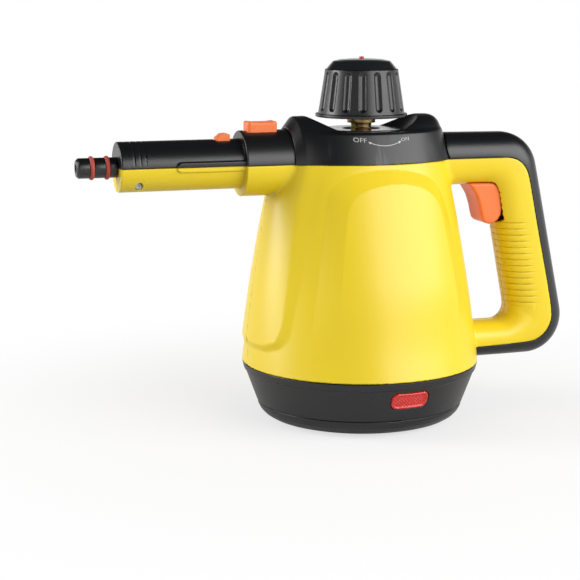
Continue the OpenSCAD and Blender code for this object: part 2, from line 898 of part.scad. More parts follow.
module valve_body() {
    color(brass) difference() {
        union() {
            translate([valve_x, 0, boiler_top]) cylinder(r = 3.5, h = split_z - valve_foot - boiler_top + 1);
            box([valve_front, -valve_half, split_z - valve_foot], [valve_rear, valve_half, split_z + 6]);
            rod_x(pipe_r + 1.6, valve_front - spigot_l, valve_front + 1);
        }
        rod_x(pipe_r + fit, valve_front - spigot_l - 1, valve_front);
        rod_x(1.8, valve_front - 1, valve_front + 4);
        rod_x(bore_r, valve_front + 3, valve_rear - 2);
        rod_x(rod_r + fit, valve_front + 3, valve_rear + 1);
        translate([valve_x, 0, boiler_top - 1]) cylinder(r = 1.8, h = split_z - boiler_top);
    }
}

plunger_head = 2.5;
spring_front = valve_front + 3;
head_front = spring_front + 5;

module valve_plunger() {
    color(steel) {
        rod_x(rod_r, head_front + 1, rod_end);
        rod_x(bore_r - fit, head_front, head_front + plunger_head);
    }
}

module valve_spring() {
    color(steel) difference() {
        rod_x(bore_r - 0.2, spring_front, head_front);
        rod_x(bore_r - 1.2, spring_front - 1, head_front + 1);
    }
}

// ---- trigger and link ----

link_low = split_z - link_t / 2;
link_high = split_z + link_t / 2;
window_r = neck_r + 0.8;
window_front = rod_end + 4;
window_rear = neck_r + link_travel + 0.8;
link_half = window_r + 3.2;
link_end = pivot[0] - nose_r - gap;
tongue = 5;

module push_link() {
    color(steel) {
        difference() {
            box([rod_end, -link_half, link_low], [window_rear + 4, link_half, link_high]);
            box([window_front, -window_r, link_low - 1], [window_rear, window_r, link_high + 1]);
        }
        box([window_rear + 3, -tongue, link_low], [link_end, tongue, link_high]);
        box([link_end - link_t, -tongue, link_low], [link_end, tongue, link_high + 4]);
    }
}

module trigger() {
    color(orange) difference() {
        union() {
            finger_part(0, trigger_w);
            core_part(0, core_w);
            rod_y(hub_r, -hub_w / 2, hub_w / 2, pivot[0], pivot[1]);
            rod_y(nose_r, -hub_w / 2, hub_w / 2, pivot[0], pivot[1] + lever_r);
            box([pivot[0] - nose_r + 0.4, -hub_w / 2, pivot[1]], [pivot[0] + nose_r, hub_w / 2, pivot[1] + lever_r]);
        }
        rod_y(pin_d / 2 + fit / 2, -far, far, pivot[0], pivot[1]);
    }
}

module trigger_pin() {
    color(steel) rod_y(pin_d / 2, -pin_reach, pin_reach, pivot[0], pivot[1]);
}

module trigger_spring() {
    color(steel) difference() {
        rod_x(3, pivot[0] + 12.1, spring_seat - 0.1, spring_z);
        rod_x(2, pivot[0] + 11, spring_seat + 1, spring_z);
    }
}

// ---- latch ----

module release_latch() {
    bar_top = latch_bar_z + latch_bar_t;
    color(orange) difference() {
        union() {
            box([tooth_x - tooth_l / 2, -latch_bar_w / 2, latch_bar_z], [latch_pivot[0], latch_bar_w / 2, bar_top]);
            rod_y(latch_hub_r, -latch_bar_w / 2, latch_bar_w / 2, latch_pivot[0], latch_pivot[1]);
            translate([button_mid, 0, bar_top - 1]) linear_extrude(split_z + thick_r + button_out - bar_top + 1)
                rounded_rect(button_l, button_w, 2);
            translate([0, latch_bar_w / 2, 0]) rotate([90, 0, 0]) linear_extrude(latch_bar_w) polygon([
                [tooth_x - tooth_l / 2, bar_top - 1], [tooth_x + tooth_l / 2, bar_top - 1],
                [tooth_x + tooth_l / 2, split_z + slim_r + tooth_out - 0.6],
                [tooth_x + 2, split_z + slim_r + tooth_out], [tooth_x - 1, split_z + slim_r + tooth_out - 0.4],
                [tooth_x - tooth_l / 2, split_z + slim_r + 0.6]]);
        }
        rod_y(latch_pin_r + fit / 2, -far, far, latch_pivot[0], latch_pivot[1]);
    }
}

module latch_pin() {
    color(steel) rod_y(latch_pin_r, -latch_bar_w / 2 - gap - ear_t, latch_bar_w / 2 + gap + ear_t, latch_pivot[0], latch_pivot[1]);
}

// Leaf spring under the latch, held between valve block and bar
module latch_spring() {
    leaf_x0 = -70;
    leaf_x1 = valve_front - spigot_l - 0.5;
    color(steel) translate([0, 3, 0]) rotate([90, 0, 0]) linear_extrude(6) polygon([
        [leaf_x0, latch_bar_z - 0.5], [leaf_x0, latch_bar_z - 0.1], [leaf_x0 + 4, latch_bar_z - 0.1],
        [leaf_x1, split_z + pipe_r + 0.5], [leaf_x1, split_z + pipe_r + 0.1]]);
}

// ---- cap ----

module filler_plate() {
    color(black) translate([0, 0, well_z]) ring(plate_d / 2, hole_r, plate_t);
}

rim_h = 1.9;
rim_step = 1.6;
skirt_r = cap_r - rim_step;
hub_r_in = head_r + 0.6;
web_z = cap_shoulder - 4;
web_t = 2;
function skirt_in(z) = lerp(skirt_r, cap_top_r, (z - cap_z - rim_h) / (cap_h - rim_h)) - cap_wall;
flute_r = 2.4;
flute_depth = 1.2;
skirt_lean = atan((skirt_r - cap_top_r) / (cap_h - rim_h));

module cap_knob() {
    color(black) difference() {
        rotate_extrude() polygon([
            [cap_r, cap_z], [cap_r, cap_z + rim_h], [skirt_r, cap_z + rim_h], [cap_top_r, cap_shoulder],
            [cap_top_r - cap_wall, cap_shoulder], [skirt_in(web_z + web_t), web_z + web_t],
            [hub_r_in, web_z + web_t], [hub_r_in, spring_top + hub_floor],
            [shank_r + fit, spring_top + hub_floor], [shank_r + fit, spring_top],
            [hub_r_in + 2.4, spring_top], [hub_r_in + 2.4, web_z], [skirt_in(web_z), web_z],
            [skirt_in(cap_z + rim_h), cap_z + rim_h], [skirt_in(cap_z + rim_h), cap_z]]);
        for (i = [0 : flutes - 1]) rotate(360 * (i + 0.35) / flutes)
            translate([skirt_r + flute_r - flute_depth, 0, cap_z + rim_h + 2]) rotate([0, -skirt_lean, 0])
                cylinder(r = flute_r, h = cap_h - rim_h - 6);
    }
}

crown_h = 6.3;
crown_r = 17.2;
crown_pin_r = 1.4;
spigot_h = 1.6;

module cap_crown() {
    color(black) rotate_extrude() polygon([
        [crown_pin_r + 0.05, cap_shoulder - spigot_h], [cap_top_r - cap_wall - fit, cap_shoulder - spigot_h],
        [cap_top_r - cap_wall - fit, cap_shoulder], [cap_top_r - 0.7, cap_shoulder],
        [crown_r, cap_shoulder + crown_h - 1.5], [crown_r * 0.6, cap_shoulder + crown_h - 0.5],
        [crown_pin_r + 0.05, cap_shoulder + crown_h]]);
}

module crown_pin() {
    color(red) translate([0, 0, cap_shoulder - spigot_h]) cylinder(r = crown_pin_r, h = spigot_h + crown_h + 1.1);
}

module cap_plug() {
    color(brass) rotate_extrude() polygon([
        [0, neck_top - thread_hold], [plug_r - 1, neck_top - thread_hold], [plug_r, neck_top - thread_hold + 1],
        [plug_r, flange_z], [flange_r, flange_z], [flange_r, flange_z + flange_t], [shank_r, flange_z + flange_t],
        [shank_r, spring_top + hub_floor], [head_r, spring_top + hub_floor], [head_r, spring_top + hub_floor + 3],
        [0, spring_top + hub_floor + 3]]);
}

module cap_gasket() {
    color(seal_red) translate([0, 0, neck_top]) ring(neck_r - 1, plug_r + 0.2, gasket_t);
}

module cap_spring() {
    color(steel) translate([0, 0, flange_z + flange_t]) ring(7.8, shank_r + 0.5, spring_top - flange_z - flange_t);
}

// ---- boiler ----

module filler_neck() {
    color(brass) translate([0, 0, boiler_top]) difference() {
        union() {
            cylinder(r = neck_r + 3, h = 2);
            cylinder(r = neck_r, h = neck_top - boiler_top);
        }
        translate([0, 0, -e]) cylinder(r = plug_r + fit, h = far);
    }
}

module boiler_upper() {
    z0 = flange_mid + seal_t;
    color(alloy) difference() {
        rotate_extrude() polygon(concat(
            [[boiler_r - boiler_wall, z0], [boiler_r + flange_w, z0], [boiler_r + flange_w, z0 + lip_t], [boiler_r, z0 + lip_t]],
            [for (t = [0 : 15 : 90]) [boiler_r - dome_r + dome_r * cos(t), boiler_top - dome_r + dome_r * sin(t)]],
            [[0, boiler_top], [0, boiler_top - boiler_wall]],
            [for (t = [90 : -15 : 0]) [boiler_r - dome_r + (dome_r - boiler_wall) * cos(t),
                boiler_top - dome_r + (dome_r - boiler_wall) * sin(t)]]));
        translate([0, 0, boiler_top - 5]) cylinder(r = plug_r + fit, h = 10);
        bolt_holes();
    }
}

module bolt_holes() {
    for (i = [0 : boiler_bolts - 1]) rotate(360 * (i + 0.5) / boiler_bolts) translate([bolt_at, 0, flange_mid - 10])
        cylinder(r = bolt_r + fit, h = 20);
}

module boiler_lower() {
    color(alloy) difference() {
        rotate_extrude() polygon([
            [0, boiler_z], [boiler_r - 6, boiler_z], [boiler_r, boiler_z + 6], [boiler_r, flange_mid - lip_t],
            [boiler_r + flange_w, flange_mid - lip_t], [boiler_r + flange_w, flange_mid],
            [boiler_r - boiler_wall, flange_mid], [boiler_r - boiler_wall, boiler_z + 6.6],
            [boiler_r - 6.6, boiler_z + boiler_wall], [0, boiler_z + boiler_wall]]);
        bolt_holes();
    }
}

module boiler_seal() {
    color(rubber) difference() {
        translate([0, 0, flange_mid]) ring(boiler_r + flange_w, boiler_r - boiler_wall, seal_t);
        bolt_holes();
    }
}

module boiler_bolt_set() {
    color(steel) for (i = [0 : boiler_bolts - 1]) rotate(360 * (i + 0.5) / boiler_bolts) translate([bolt_at, 0, 0]) {
        translate([0, 0, flange_mid + seal_t + lip_t]) cylinder(r = bolt_head_r, h = bolt_head_h, $fn = 6);
        translate([0, 0, flange_mid - lip_t - bolt_head_h]) cylinder(r = bolt_head_r, h = bolt_head_h, $fn = 6);
        translate([0, 0, flange_mid - lip_t - bolt_head_h - 1])
            cylinder(r = bolt_r, h = seal_t + 2 * lip_t + bolt_head_h + 2);
    }
}

post_at = 34;
tray_t = 1.5;

module boiler_tray() {
    color(steel) translate([0, 0, boiler_z - tray_t]) ring(boiler_r + 2, 25, tray_t);
}

module boiler_posts() {
    color(steel) for (a = [90, 210, 330]) rotate(a) translate([post_at, 0, pan_floor])
        cylinder(r = 3, h = boiler_z - tray_t - pan_floor);
}

heater_r = 3.2;
heater_at = 18;
heater_leg = 12;
heater_leg_r = 1.8;
heater_leg_at = 4;

module heating_element() {
    color("#7d7468") translate([0, 0, boiler_z - heater_r]) {
        rotate_extrude() translate([heater_at, 0]) circle(r = heater_r);
        for (s = [-1, 1]) translate([heater_at, heater_leg_at * s, -heater_leg]) cylinder(r = heater_leg_r, h = heater_leg);
    }
}

thermostat_r = 9;
thermostat_h = 8;
tab_w = 4;
tab_l = 6;
tab_t = 0.8;

module thermostat() {
    color("#d8d4c8") translate([0, 0, boiler_z - thermostat_h]) {
        cylinder(r = thermostat_r, h = thermostat_h);
        for (s = [-1, 1]) translate([s * (thermostat_r - tab_w), 0, 0])
            box([-tab_w / 2, -tab_t / 2, -tab_l], [tab_w / 2, tab_t / 2, 1]);
    }
}

fuse_r = 2.2;
fuse_l = 16;
fuse_up = 14;

module thermal_fuse() {
    color(steel) translate([0, boiler_r + fuse_r, boiler_z + fuse_up]) cylinder(r = fuse_r, h = fuse_l);
}

relief_at = 20;
relief_nut_r = 5;
relief_nut_h = 6;
relief_r = 3.4;
relief_h = 13;

module relief_valve() {
    color(brass) translate([0, relief_at, boiler_top]) {
        cylinder(r = relief_nut_r, h = relief_nut_h, $fn = 6);
        cylinder(r = relief_r, h = relief_h);
    }
}

body_shell_left();
body_shell_right();
top_cover();
barrel_cover();
handle_cover();
base_ring();
base_pan();
rubber_feet();
pan_screws();
ring_screws();
shell_screws();
indicator_lens();
indicator_lamp();
cord_gland();
terminal_block();
nozzle_tube();
o_rings();
steam_pipe();
valve_body();
valve_plunger();
valve_spring();
push_link();
trigger();
trigger_pin();
trigger_spring();
release_latch();
latch_pin();
latch_spring();
filler_plate();
cap_knob();
cap_crown();
crown_pin();
cap_plug();
cap_gasket();
cap_spring();
filler_neck();
boiler_upper();
boiler_lower();
boiler_seal();
boiler_bolt_set();
boiler_tray();
boiler_posts();
heating_element();
thermostat();
thermal_fuse();
relief_valve();
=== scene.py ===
"""Looks of a handheld pressure steamer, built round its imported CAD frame.

Casings and moulded parts are carved from distance functions in millimetres, turned parts are
spun from outlines, and every piece rides on the CAD body that it belongs to.
"""
import math
from functools import partial

import bpy
import numpy as np
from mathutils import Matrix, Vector


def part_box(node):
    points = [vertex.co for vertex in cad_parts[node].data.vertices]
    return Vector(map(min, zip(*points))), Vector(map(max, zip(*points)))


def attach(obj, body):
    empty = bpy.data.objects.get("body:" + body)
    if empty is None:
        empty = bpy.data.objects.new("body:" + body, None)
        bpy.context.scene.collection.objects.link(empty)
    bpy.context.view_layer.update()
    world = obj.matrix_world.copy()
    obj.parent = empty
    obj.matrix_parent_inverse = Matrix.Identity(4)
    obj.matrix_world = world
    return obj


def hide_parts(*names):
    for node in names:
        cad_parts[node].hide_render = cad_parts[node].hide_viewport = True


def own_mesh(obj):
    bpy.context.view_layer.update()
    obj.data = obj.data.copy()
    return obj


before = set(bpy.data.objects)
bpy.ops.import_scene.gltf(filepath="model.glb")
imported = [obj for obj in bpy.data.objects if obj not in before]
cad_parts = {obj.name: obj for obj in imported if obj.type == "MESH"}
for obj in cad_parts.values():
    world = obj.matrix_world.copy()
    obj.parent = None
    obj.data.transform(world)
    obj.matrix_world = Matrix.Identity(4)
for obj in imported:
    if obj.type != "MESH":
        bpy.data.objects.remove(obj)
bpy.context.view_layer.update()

bl_info = {
    "name": "Pressure steamer looks",
    "version": (1, 0, 0),
    "blender": (4, 5, 0),
    "location": "View3D > Sidebar > Steamer",
    "description": "Builds the casings, covers, cap, trigger and finishes of a handheld steamer",
    "category": "Object",
}

MM = 0.001
BASE_R = 72.5       # radius of the base at its joint with the body
JOINT = 35.7        # height of that joint
SPLIT = 158.1       # height of the parting plane, which is the barrel's axis
WALL = 2.4          # wall of the moulded casings
SLIM, THICK = 14.7, 19.4        # radii of the barrel, in front and at its root
GRIP_HALF = 15.5    # half the width of the handle
GRIP_LEAN = 0.193   # how far the grip leans back for each mm down
GROOVE_PITCH = 3.9  # from one groove of the grip to the next
GROOVE_MIDDLE, GROOVE_REACH = 90.5, 27.5    # height of the grooved field and half its length
BUTTON_X = -63.5    # middle of the release button
SCREW_FRONT, SCREW_ROOT = (-139.0, 147.7), (-56.8, 140.3)   # X and Z of the barrel's screws
PAN_SCREWS = 46     # distance of the pan's screws from the middle
FEET = 24.04        # X and Y of the rubber feet
WELL = 175.5        # floor of the well round the filler
FLARE = math.radians(46)        # slope of the well's wall
LEAN = math.radians(20.3)       # lean of the base ring's wall
CREASE = math.radians(40)       # edges under this angle are shaded smooth
FINE = 1.0   # fineness of the carved meshes; a lower value makes them coarser


# ---- settings ----

class CasingSettings(bpy.types.PropertyGroup):
    """Sizes of the body shells and the covers."""
    side_raise: bpy.props.FloatProperty(
        name="Side panels", description="How far the panels on the sides stand out",
        default=3.6 * MM, min=0.5 * MM, max=4.0 * MM, precision=5, unit="LENGTH")
    front_raise: bpy.props.FloatProperty(
        name="Front panel", description="How far the panel at the front stands out",
        default=1.7 * MM, min=0.3 * MM, max=2.5 * MM, precision=5, unit="LENGTH")
    seam: bpy.props.FloatProperty(
        name="Seam", description="Half of the gap between two casings",
        default=0.09 * MM, min=0.02 * MM, max=0.3 * MM, precision=5, unit="LENGTH")
    groove_depth: bpy.props.FloatProperty(
        name="Grip grooves", description="Depth of the grooves across the grip",
        default=0.25 * MM, min=0.1 * MM, max=0.6 * MM, precision=5, unit="LENGTH")
    rings: bpy.props.IntProperty(
        name="Barrel rings", description="Number of fine grooves round the barrel",
        default=4, min=1, max=6)


class CapSettings(bpy.types.PropertyGroup):
    """Sizes of the filler cap."""
    flutes: bpy.props.IntProperty(
        name="Flutes", description="Number of flutes round the cap", default=16, min=8, max=24)
    flute_depth: bpy.props.FloatProperty(
        name="Flute depth", description="How deep each flute is cut",
        default=1.3 * MM, min=0.4 * MM, max=1.8 * MM, precision=5, unit="LENGTH")


class ColourSettings(bpy.types.PropertyGroup):
    """Colours, as sRGB hex values."""
    yellow: bpy.props.StringProperty(
        name="Yellow", description="Colour of the shells", default="#F4D622")
    black: bpy.props.StringProperty(
        name="Black", description="Colour of the covers and the cap", default="#111214")
    orange: bpy.props.StringProperty(
        name="Orange", description="Colour of trigger and release button", default="#FB7F40")
    red: bpy.props.StringProperty(
        name="Red", description="Colour of the indicator lens", default="#C4180C")
    seal: bpy.props.StringProperty(
        name="Seal", description="Colour of the silicone rings", default="#BC5247")
    ink: bpy.props.StringProperty(
        name="Ink", description="Colour of the print on the cover", default="#C8CACC")


class StageSettings(bpy.types.PropertyGroup):
    """Floor, light and camera."""
    floor: bpy.props.StringProperty(
        name="Floor", description="Colour of the floor", default="#F4F4F4")
    lens: bpy.props.FloatProperty(
        name="Lens", description="Focal length of the camera, on a sensor 36 mm wide",
        default=99.31, min=50, max=200, unit="CAMERA")


# ---- distance functions, in millimetres, negative inside ----

def join(a, b, r=0.0):
    """Union, with a fillet of about r."""
    if not r:
        return np.minimum(a, b)
    h = np.maximum(r - np.abs(a - b), 0) / r
    return np.minimum(a, b) - h * h * (r / 4)


def meet(a, b, r=0.0):
    """What two solids share, with its edge rounded by about r."""
    return -join(-a, -b, r)


def cut(a, b, r=0.0):
    """a with b taken away."""
    return meet(a, -b, r)


def radius(u, v):
    """Distance from the origin of a plane."""
    return np.sqrt(u * u + v * v)


def ramp(value, start, end):
    """0 up to start, 1 beyond end, and a straight slope between them."""
    return np.clip((value - start) / (end - start), 0, 1)


def smooth(t):
    """Slow start and slow end for t from 0 to 1."""
    return t * t * (3 - 2 * t)


def outline(points, u, v):
    """Signed distance to a closed outline in a plane."""
    far, inside = None, None
    last = points[-1]
    for p in points:
        eu, ev = last[0] - p[0], last[1] - p[1]
        wu, wv = u - p[0], v - p[1]
        t = np.clip((wu * eu + wv * ev) / (eu * eu + ev * ev), 0, 1)
        d = (wu - eu * t) ** 2 + (wv - ev * t) ** 2
        above, below, left = v >= p[1], v < last[1], eu * wv > ev * wu
        flip = (above & below & left) | ~(above | below | left)
        far = d if far is None else np.minimum(far, d)
        inside = flip if inside is None else inside ^ flip
        last = p
    return np.sqrt(far) * np.where(inside, -1, 1)


def inset(points, r):
    """The outline moved inwards by r; its points run anticlockwise."""
    n, moved = len(points), []
    for i in range(n):
        (ax, ay), (bx, by), (cx, cy) = points[i - 1], points[i], points[(i + 1) % n]
        l1, l2 = math.hypot(bx - ax, by - ay), math.hypot(cx - bx, cy - by)
        n1, n2 = (-(by - ay) / l1, (bx - ax) / l1), (-(cy - by) / l2, (cx - bx) / l2)
        k = r / (1 + n1[0] * n2[0] + n1[1] * n2[1])
        moved.append((bx + k * (n1[0] + n2[0]), by + k * (n1[1] + n2[1])))
    return moved


def rounded(points, r, u, v):
    """Signed distance to an outline whose corners have radius r."""
    return outline(inset(points, r), u, v) - r


def eased(points, rounds=2):
    """The same outline with its corners cut, so that it runs as a smooth curve."""
    for _ in range(rounds):
        points = [tuple(a[i] * (1 - t) + b[i] * t for i in (0, 1))
                  for a, b in zip(points, points[1:] + points[:1]) for t in (0.25, 0.75)]
    return points


def share(outer, inner):
    """0 outside the outer outline, 1 inside the inner one, and a slope between them."""
    return np.clip(-outer / np.maximum(inner - outer, 1e-3), 0, 1)


def tube(y, z, r):
    """Endless rod along the barrel's axis."""
    return radius(y, z - SPLIT) - r


def rod_y(x, z, centre, r):
    """Endless rod across the steamer."""
    return radius(x - centre[0], z - centre[1]) - r


def oval(x, y, a, b):
    """Distance to an ellipse with half axes a and b."""
    u, v = x / a, y / b
    q = np.sqrt(u * u + v * v + 1e-8)
    g = np.sqrt((u / a) ** 2 + (v / b) ** 2 + 1e-8 / (a * a))
    return q * (q - 1) / g


def oblong(u, v, length, height, r):
    """Rectangle with corners of radius r."""
    a, b = np.abs(u) - length / 2 + r, np.abs(v) - height / 2 + r
    return radius(np.maximum(a, 0), np.maximum(b, 0)) + np.minimum(np.maximum(a, b), 0) - r


# ---- forms of the housing ----

def body_form(x, y, z, less=0.0):
    """Body: ovals that narrow towards the parting plane."""
    t = (z - JOINT) / (SPLIT - JOINT)
    length = BASE_R - 19.3 * t + 8 * t * (1 - t)
    width = BASE_R - 36.5 * t + 2 * t * (1 - t)
    return 0.975 * oval(x, y, length - less, width - less)


PANEL_OUT = [(-47.5, 58), (-46.1, 67.5), (-41.2, 93.8), (-38.8, 111.1), (-33.4, 139.7),
             (-27.8, 147.9), (-16.2, 153.9), (5.6, 155.9), (23.4, 152.9), (33.4, 148.5),
             (40.5, 141), (46.5, 120), (52, 90), (56, 64), (54, 24), (-48, 24)]
PANEL_IN = [(-36.5, 60), (-34.9, 68.2), (-32.4, 82.8), (-26.5, 118.7), (-23, 135.8), (-17.4, 141.8),
            (-9.3, 145.7), (8.2, 148.1), (22.5, 145.2), (30.8, 140.6), (35.8, 134.3), (37.3, 127.3),
            (41, 100), (45, 70), (44, 30), (-37, 30)]
SHIELD_OUT = [(0, 47), (23.9, 47.9), (32.2, 50.6), (37.9, 56.2), (38.5, 59.9), (37.8, 87.6),
              (34.5, 112.9), (30.9, 135), (28, 175), (0, 175)]
SHIELD_IN = [(0, 52.3), (22, 52.6), (30.5, 55.6), (33.7, 65), (31.8, 87.6), (28.5, 112.9),
             (24.9, 135), (22.5, 175), (0, 175)]


def body_relief(x, y, z, side_height, front_height):
    """How far the raised panels on the sides and at the front move the body's surface out."""
    side = share(outline(eased(PANEL_OUT), x, z), outline(eased(PANEL_IN), x, z))
    side = side * smooth(ramp(z, 46, 92)) * smooth(ramp(x, 56, 42))
    half = np.abs(y)
    front = share(outline(SHIELD_OUT, half, z), outline(SHIELD_IN, half, z))
    return -(side_height * side * ramp(half, 8, 14)
             + front_height * smooth(front) * ramp(x, -8, -14))


def barrel_form(x, y, z, r=0.7):
    """Barrel of two widths."""
    slim = meet(tube(y, z, SLIM), meet(-150 - x, x + 70), r)
    thick = meet(tube(y, z, THICK), meet(-76.8 - x, x + 38), r)
    return join(slim, thick)


def rails(x, y, z):
    """Raised rails along the barrel's sides, in the parting plane."""
    rail = radius(x - np.clip(x, -114.95, -70), z - SPLIT) - 2.85
    return meet(rail, np.abs(y) - 15.7, 0.6)


def barrel_hollow(x, y, z):
    """Room inside the barrel, with the hole for the nozzle tube."""
    slim = meet(tube(y, z, SLIM - WALL), meet(-147.6 - x, x + 73))
    thick = meet(tube(y, z, THICK - WALL), meet(-74.4 - x, x + 30))
    hole = meet(tube(y, z, 5.42), meet(-153 - x, x + 140))
    return join(join(slim, thick), hole)


LOOP_OUT = [(30, 32.2), (140, 32.2), (110, 172.6), (30, 173.6)]
LOOP_IN = [(-10, 54.4), (99.6, 54.4), (82.9, 141.0), (-10, 141.0)]
GRIP_BACK = [(30, 158.1), (86, 158.1), (94.6, 157.6), (100.5, 154.4), (104, 149.6), (105.9, 144.0),
             (112.6, 111.5), (120, 79.1), (123.6, 60.5), (123.4, 53.5), (119.6, 46.6),
             (114.4, 42.7), (107.4, 41), (40, 39.4), (40, 10), (170, 10), (170, 190), (30, 190)]


def loop_form(x, y, z, less=0.0):
    """Handle loop: a superellipse swept between two outlines."""
    out = -rounded(LOOP_OUT, 24, x, z) - less
    inn = rounded(LOOP_IN, 8, x, z) - less
    span = np.maximum(out + inn, 2) / 2
    t = np.abs(inn - out) / (2 * span) + 1e-4
    s = np.abs(y) / (GRIP_HALF - less) + 1e-4
    rho = (t ** 2.4 + s ** 2.4) ** (1 / 2.4)
    g = np.sqrt((t ** 1.4 / span) ** 2 + (s ** 1.4 / (GRIP_HALF - less)) ** 2) * rho ** -1.4
    return meet((rho - 1) / np.maximum(g, 1e-3), 38 - x)


def grip_back(x, z):
    """Signed distance to the strip of the loop that the back cover takes."""
    return outline(eased(GRIP_BACK), x, z)


def grip_grooves(x, y, z):
    """Depth share of the grooves across the grip, on the finger side of the back cover."""
    across = x + GRIP_LEAN * z
    deep = np.clip(1 - np.abs(z - np.round(z / GROOVE_PITCH) * GROOVE_PITCH), 0, 1)
    deep = deep * (np.abs(z - GROOVE_MIDDLE) < GROOVE_REACH)
    return deep * ramp(across, 127, 122) * ramp(across, 104, 107) * ramp(np.abs(y), 5, 9)


FINGER = [(67.4, 141.9), (70.2, 138.2), (73.0, 133.6), (75.2, 127), (76.4, 121.5), (77.3, 118.8),
          (79.0, 117.2), (81.4, 116.4), (84.2, 116.8), (87.4, 118.8), (89.3, 121.8), (89.8, 124.8),
          (89.6, 132), (88.8, 136), (87.2, 139.8), (84, 141.9)]
CORE = [(71, 140.2), (84, 140.2), (84, 150.1), (76, 150.1)]
PIVOT = (80.0, 150.1)


def turned_about(x, z, centre, degrees):
    """The points x, z turned about a centre."""
    a = math.radians(degrees)
    u, v = x - centre[0], z - centre[1]
    return (centre[0] + u * math.cos(a) - v * math.sin(a),
            centre[1] + u * math.sin(a) + v * math.cos(a))


def trigger_room(x, y, z):
    """Room for the trigger over its travel."""
    turned = [turned_about(x, z, PIVOT, angle) for angle in (0, -5, -10)]
    room, slot = (np.minimum.reduce([outline(points, u, v) - 0.45 for u, v in turned])
                  for points in (FINGER, CORE))
    return join(meet(room, np.abs(y) - 10.4), meet(slot, np.abs(y) - 6.45))


def ring_r(z):
    """Radius of the base ring's wall at a height."""
    return BASE_R - (JOINT - z) * math.tan(LEAN)


def ring_cone(x, y, z, grow=0.0):
    """Cone of the base ring's outer wall."""
    return (radius(x, y) - ring_r(z) - grow) * 0.938


def shell_half(casing, x, y, z):
    """Left shell; the right one is its mirror image."""
    seam = casing.seam / MM
    relief = body_relief(x, y, z, casing.side_raise / MM, casing.front_raise / MM)
    barrel = join(barrel_form(x, y, z), rails(x, y, z), 0.5)
    grip = loop_form(x, y, z) + casing.groove_depth / MM * grip_grooves(x, y, z)
    grip = cut(grip, grip_back(x, z) - seam, 0.3)
    outer = join(body_form(x, y, z) + relief, barrel, 1.6)
    outer = join(outer, grip, 3.0)
    outer = meet(outer, meet(z - (SPLIT - seam), JOINT + seam - z), 0.35)
    hollow = join(body_form(x, y, z, WALL) + relief, barrel_hollow(x, y, z))
    hollow = join(hollow, loop_form(x, y, z, WALL))
    shell = cut(outer, hollow)
    shell = cut(shell, trigger_room(x, y, z), 0.5)
    for centre, r, floor in ((SCREW_FRONT, 2.1, -7.2), (SCREW_ROOT, 1.5, -15.2)):
        shell = cut(shell, meet(rod_y(x, z, centre, r), y - floor), 0.4)
    return meet(shell, y + seam, 0.25)


HOOD = [(-47.9, -1), (60, -1), (60, 26.9), (-36, 27.1), (-42.6, 27.0), (-43.5, 26.6), (-47.9, 20.7)]


def dome_form(x, y, z, less=0.0):
    """Outside of the top cover: an oval that narrows upwards, and the hood over the barrel."""
    t = (z - SPLIT) / 17.8
    rear = smooth(ramp(x, -14, 14))
    side = 0.93 * oval(x, y, 53.2 - 4.5 * t + rear * (2.8 - 0.9 * t) - less, 36 - 6.8 * t - less)
    low = meet(side, z - (176.2 - less), 1.4)
    narrow = np.interp(x, (-47.9, -43.5, -30), (1.0, 1.13, 0.985))
    hood = outline(HOOD, x, radius(narrow * y, z - SPLIT)) + less
    hood = np.where(x < 0, hood, meet(hood, side, 7.0))
    return join(low, hood, 2.0)


def well(x, y, z, grow=0.0):
    """Funnel round the filler, which widens upwards."""
    wall = radius(x, y) - 26.1 - grow - (z - WELL) / math.tan(FLARE)
    return meet(WELL - grow - z, wall * math.sin(FLARE), 0.8)


def top_cover(casing, x, y, z):
    """Dome with the well and the filler hole."""
    inside = cut(dome_form(x, y, z, WALL), well(x, y, z, WALL))
    cover = cut(dome_form(x, y, z), inside)
    cover = cut(cover, well(x, y, z), 0.9)
    cover = cut(cover, radius(x, y) - 12.2)
    cover = cut(cover, meet(tube(y, z, 19.75), x + 42), 0.5)
    cover = cut(cover, loop_form(x, y, z, WALL))
    return meet(cover, SPLIT + casing.seam / MM - z, 0.3)


def barrel_cover(casing, x, y, z):
    """Upper half of the barrel, with fine rings and the openings for button and tooth."""
    form = join(barrel_form(x, y, z, 0.9), rails(x, y, z), 0.5)
    first, pitch = -145.6, 3.5
    k = np.clip(np.round((x - first) / pitch), 0, casing.rings - 1)
    groove = np.clip(1 - np.abs(x - (first + pitch * k)) / 0.5, 0, 1)
    form = form + 0.3 * groove * ramp(z - SPLIT, 1, 4)
    form = cut(form, barrel_hollow(x, y, z))
    for middle, length, width, r, above in ((BUTTON_X, 21, 11.6, 2.2, 8), (-87, 10.2, 8.6, 1.0, 4)):
        opening = oblong(x - middle, y, length, width, r)
        form = cut(form, meet(opening, SPLIT + above - z), 0.4)
    form = meet(form, x + 46.2)
    return meet(form, SPLIT + casing.seam / MM - z, 0.3)


def handle_cover(casing, x, y, z):
    """Strip round the back of the handle, trimmed to its neighbours."""
    cover = meet(loop_form(x, y, z), grip_back(x, z) + casing.seam / MM, 0.3)
    cover = cut(cover, loop_form(x, y, z, WALL))
    cover = cut(cover, meet(dome_form(x, y, z, -0.45), SPLIT - 1 - z), 0.3)
    cover = cut(cover, body_form(x, y, z, -0.3))
    return cut(cover, meet(ring_cone(x, y, z, 0.3), z - JOINT - 1))


# ---- forms of the base ----

LENS_AT = (-84.1, 23.6)     # turn about the axis, in degrees, and height
GLAND_AT = (40.0, 21.0)


def on_wall(x, y, z, turn, height):
    """Place on the ring's wall: along it, up it and out of it."""
    a = math.radians(turn)
    out = x * math.cos(a) + y * math.sin(a) - ring_r(height)
    along = -x * math.sin(a) + y * math.cos(a)
    rise = z - height
    return (along, out * math.sin(LEAN) + rise * math.cos(LEAN),
            out * math.cos(LEAN) - rise * math.sin(LEAN))


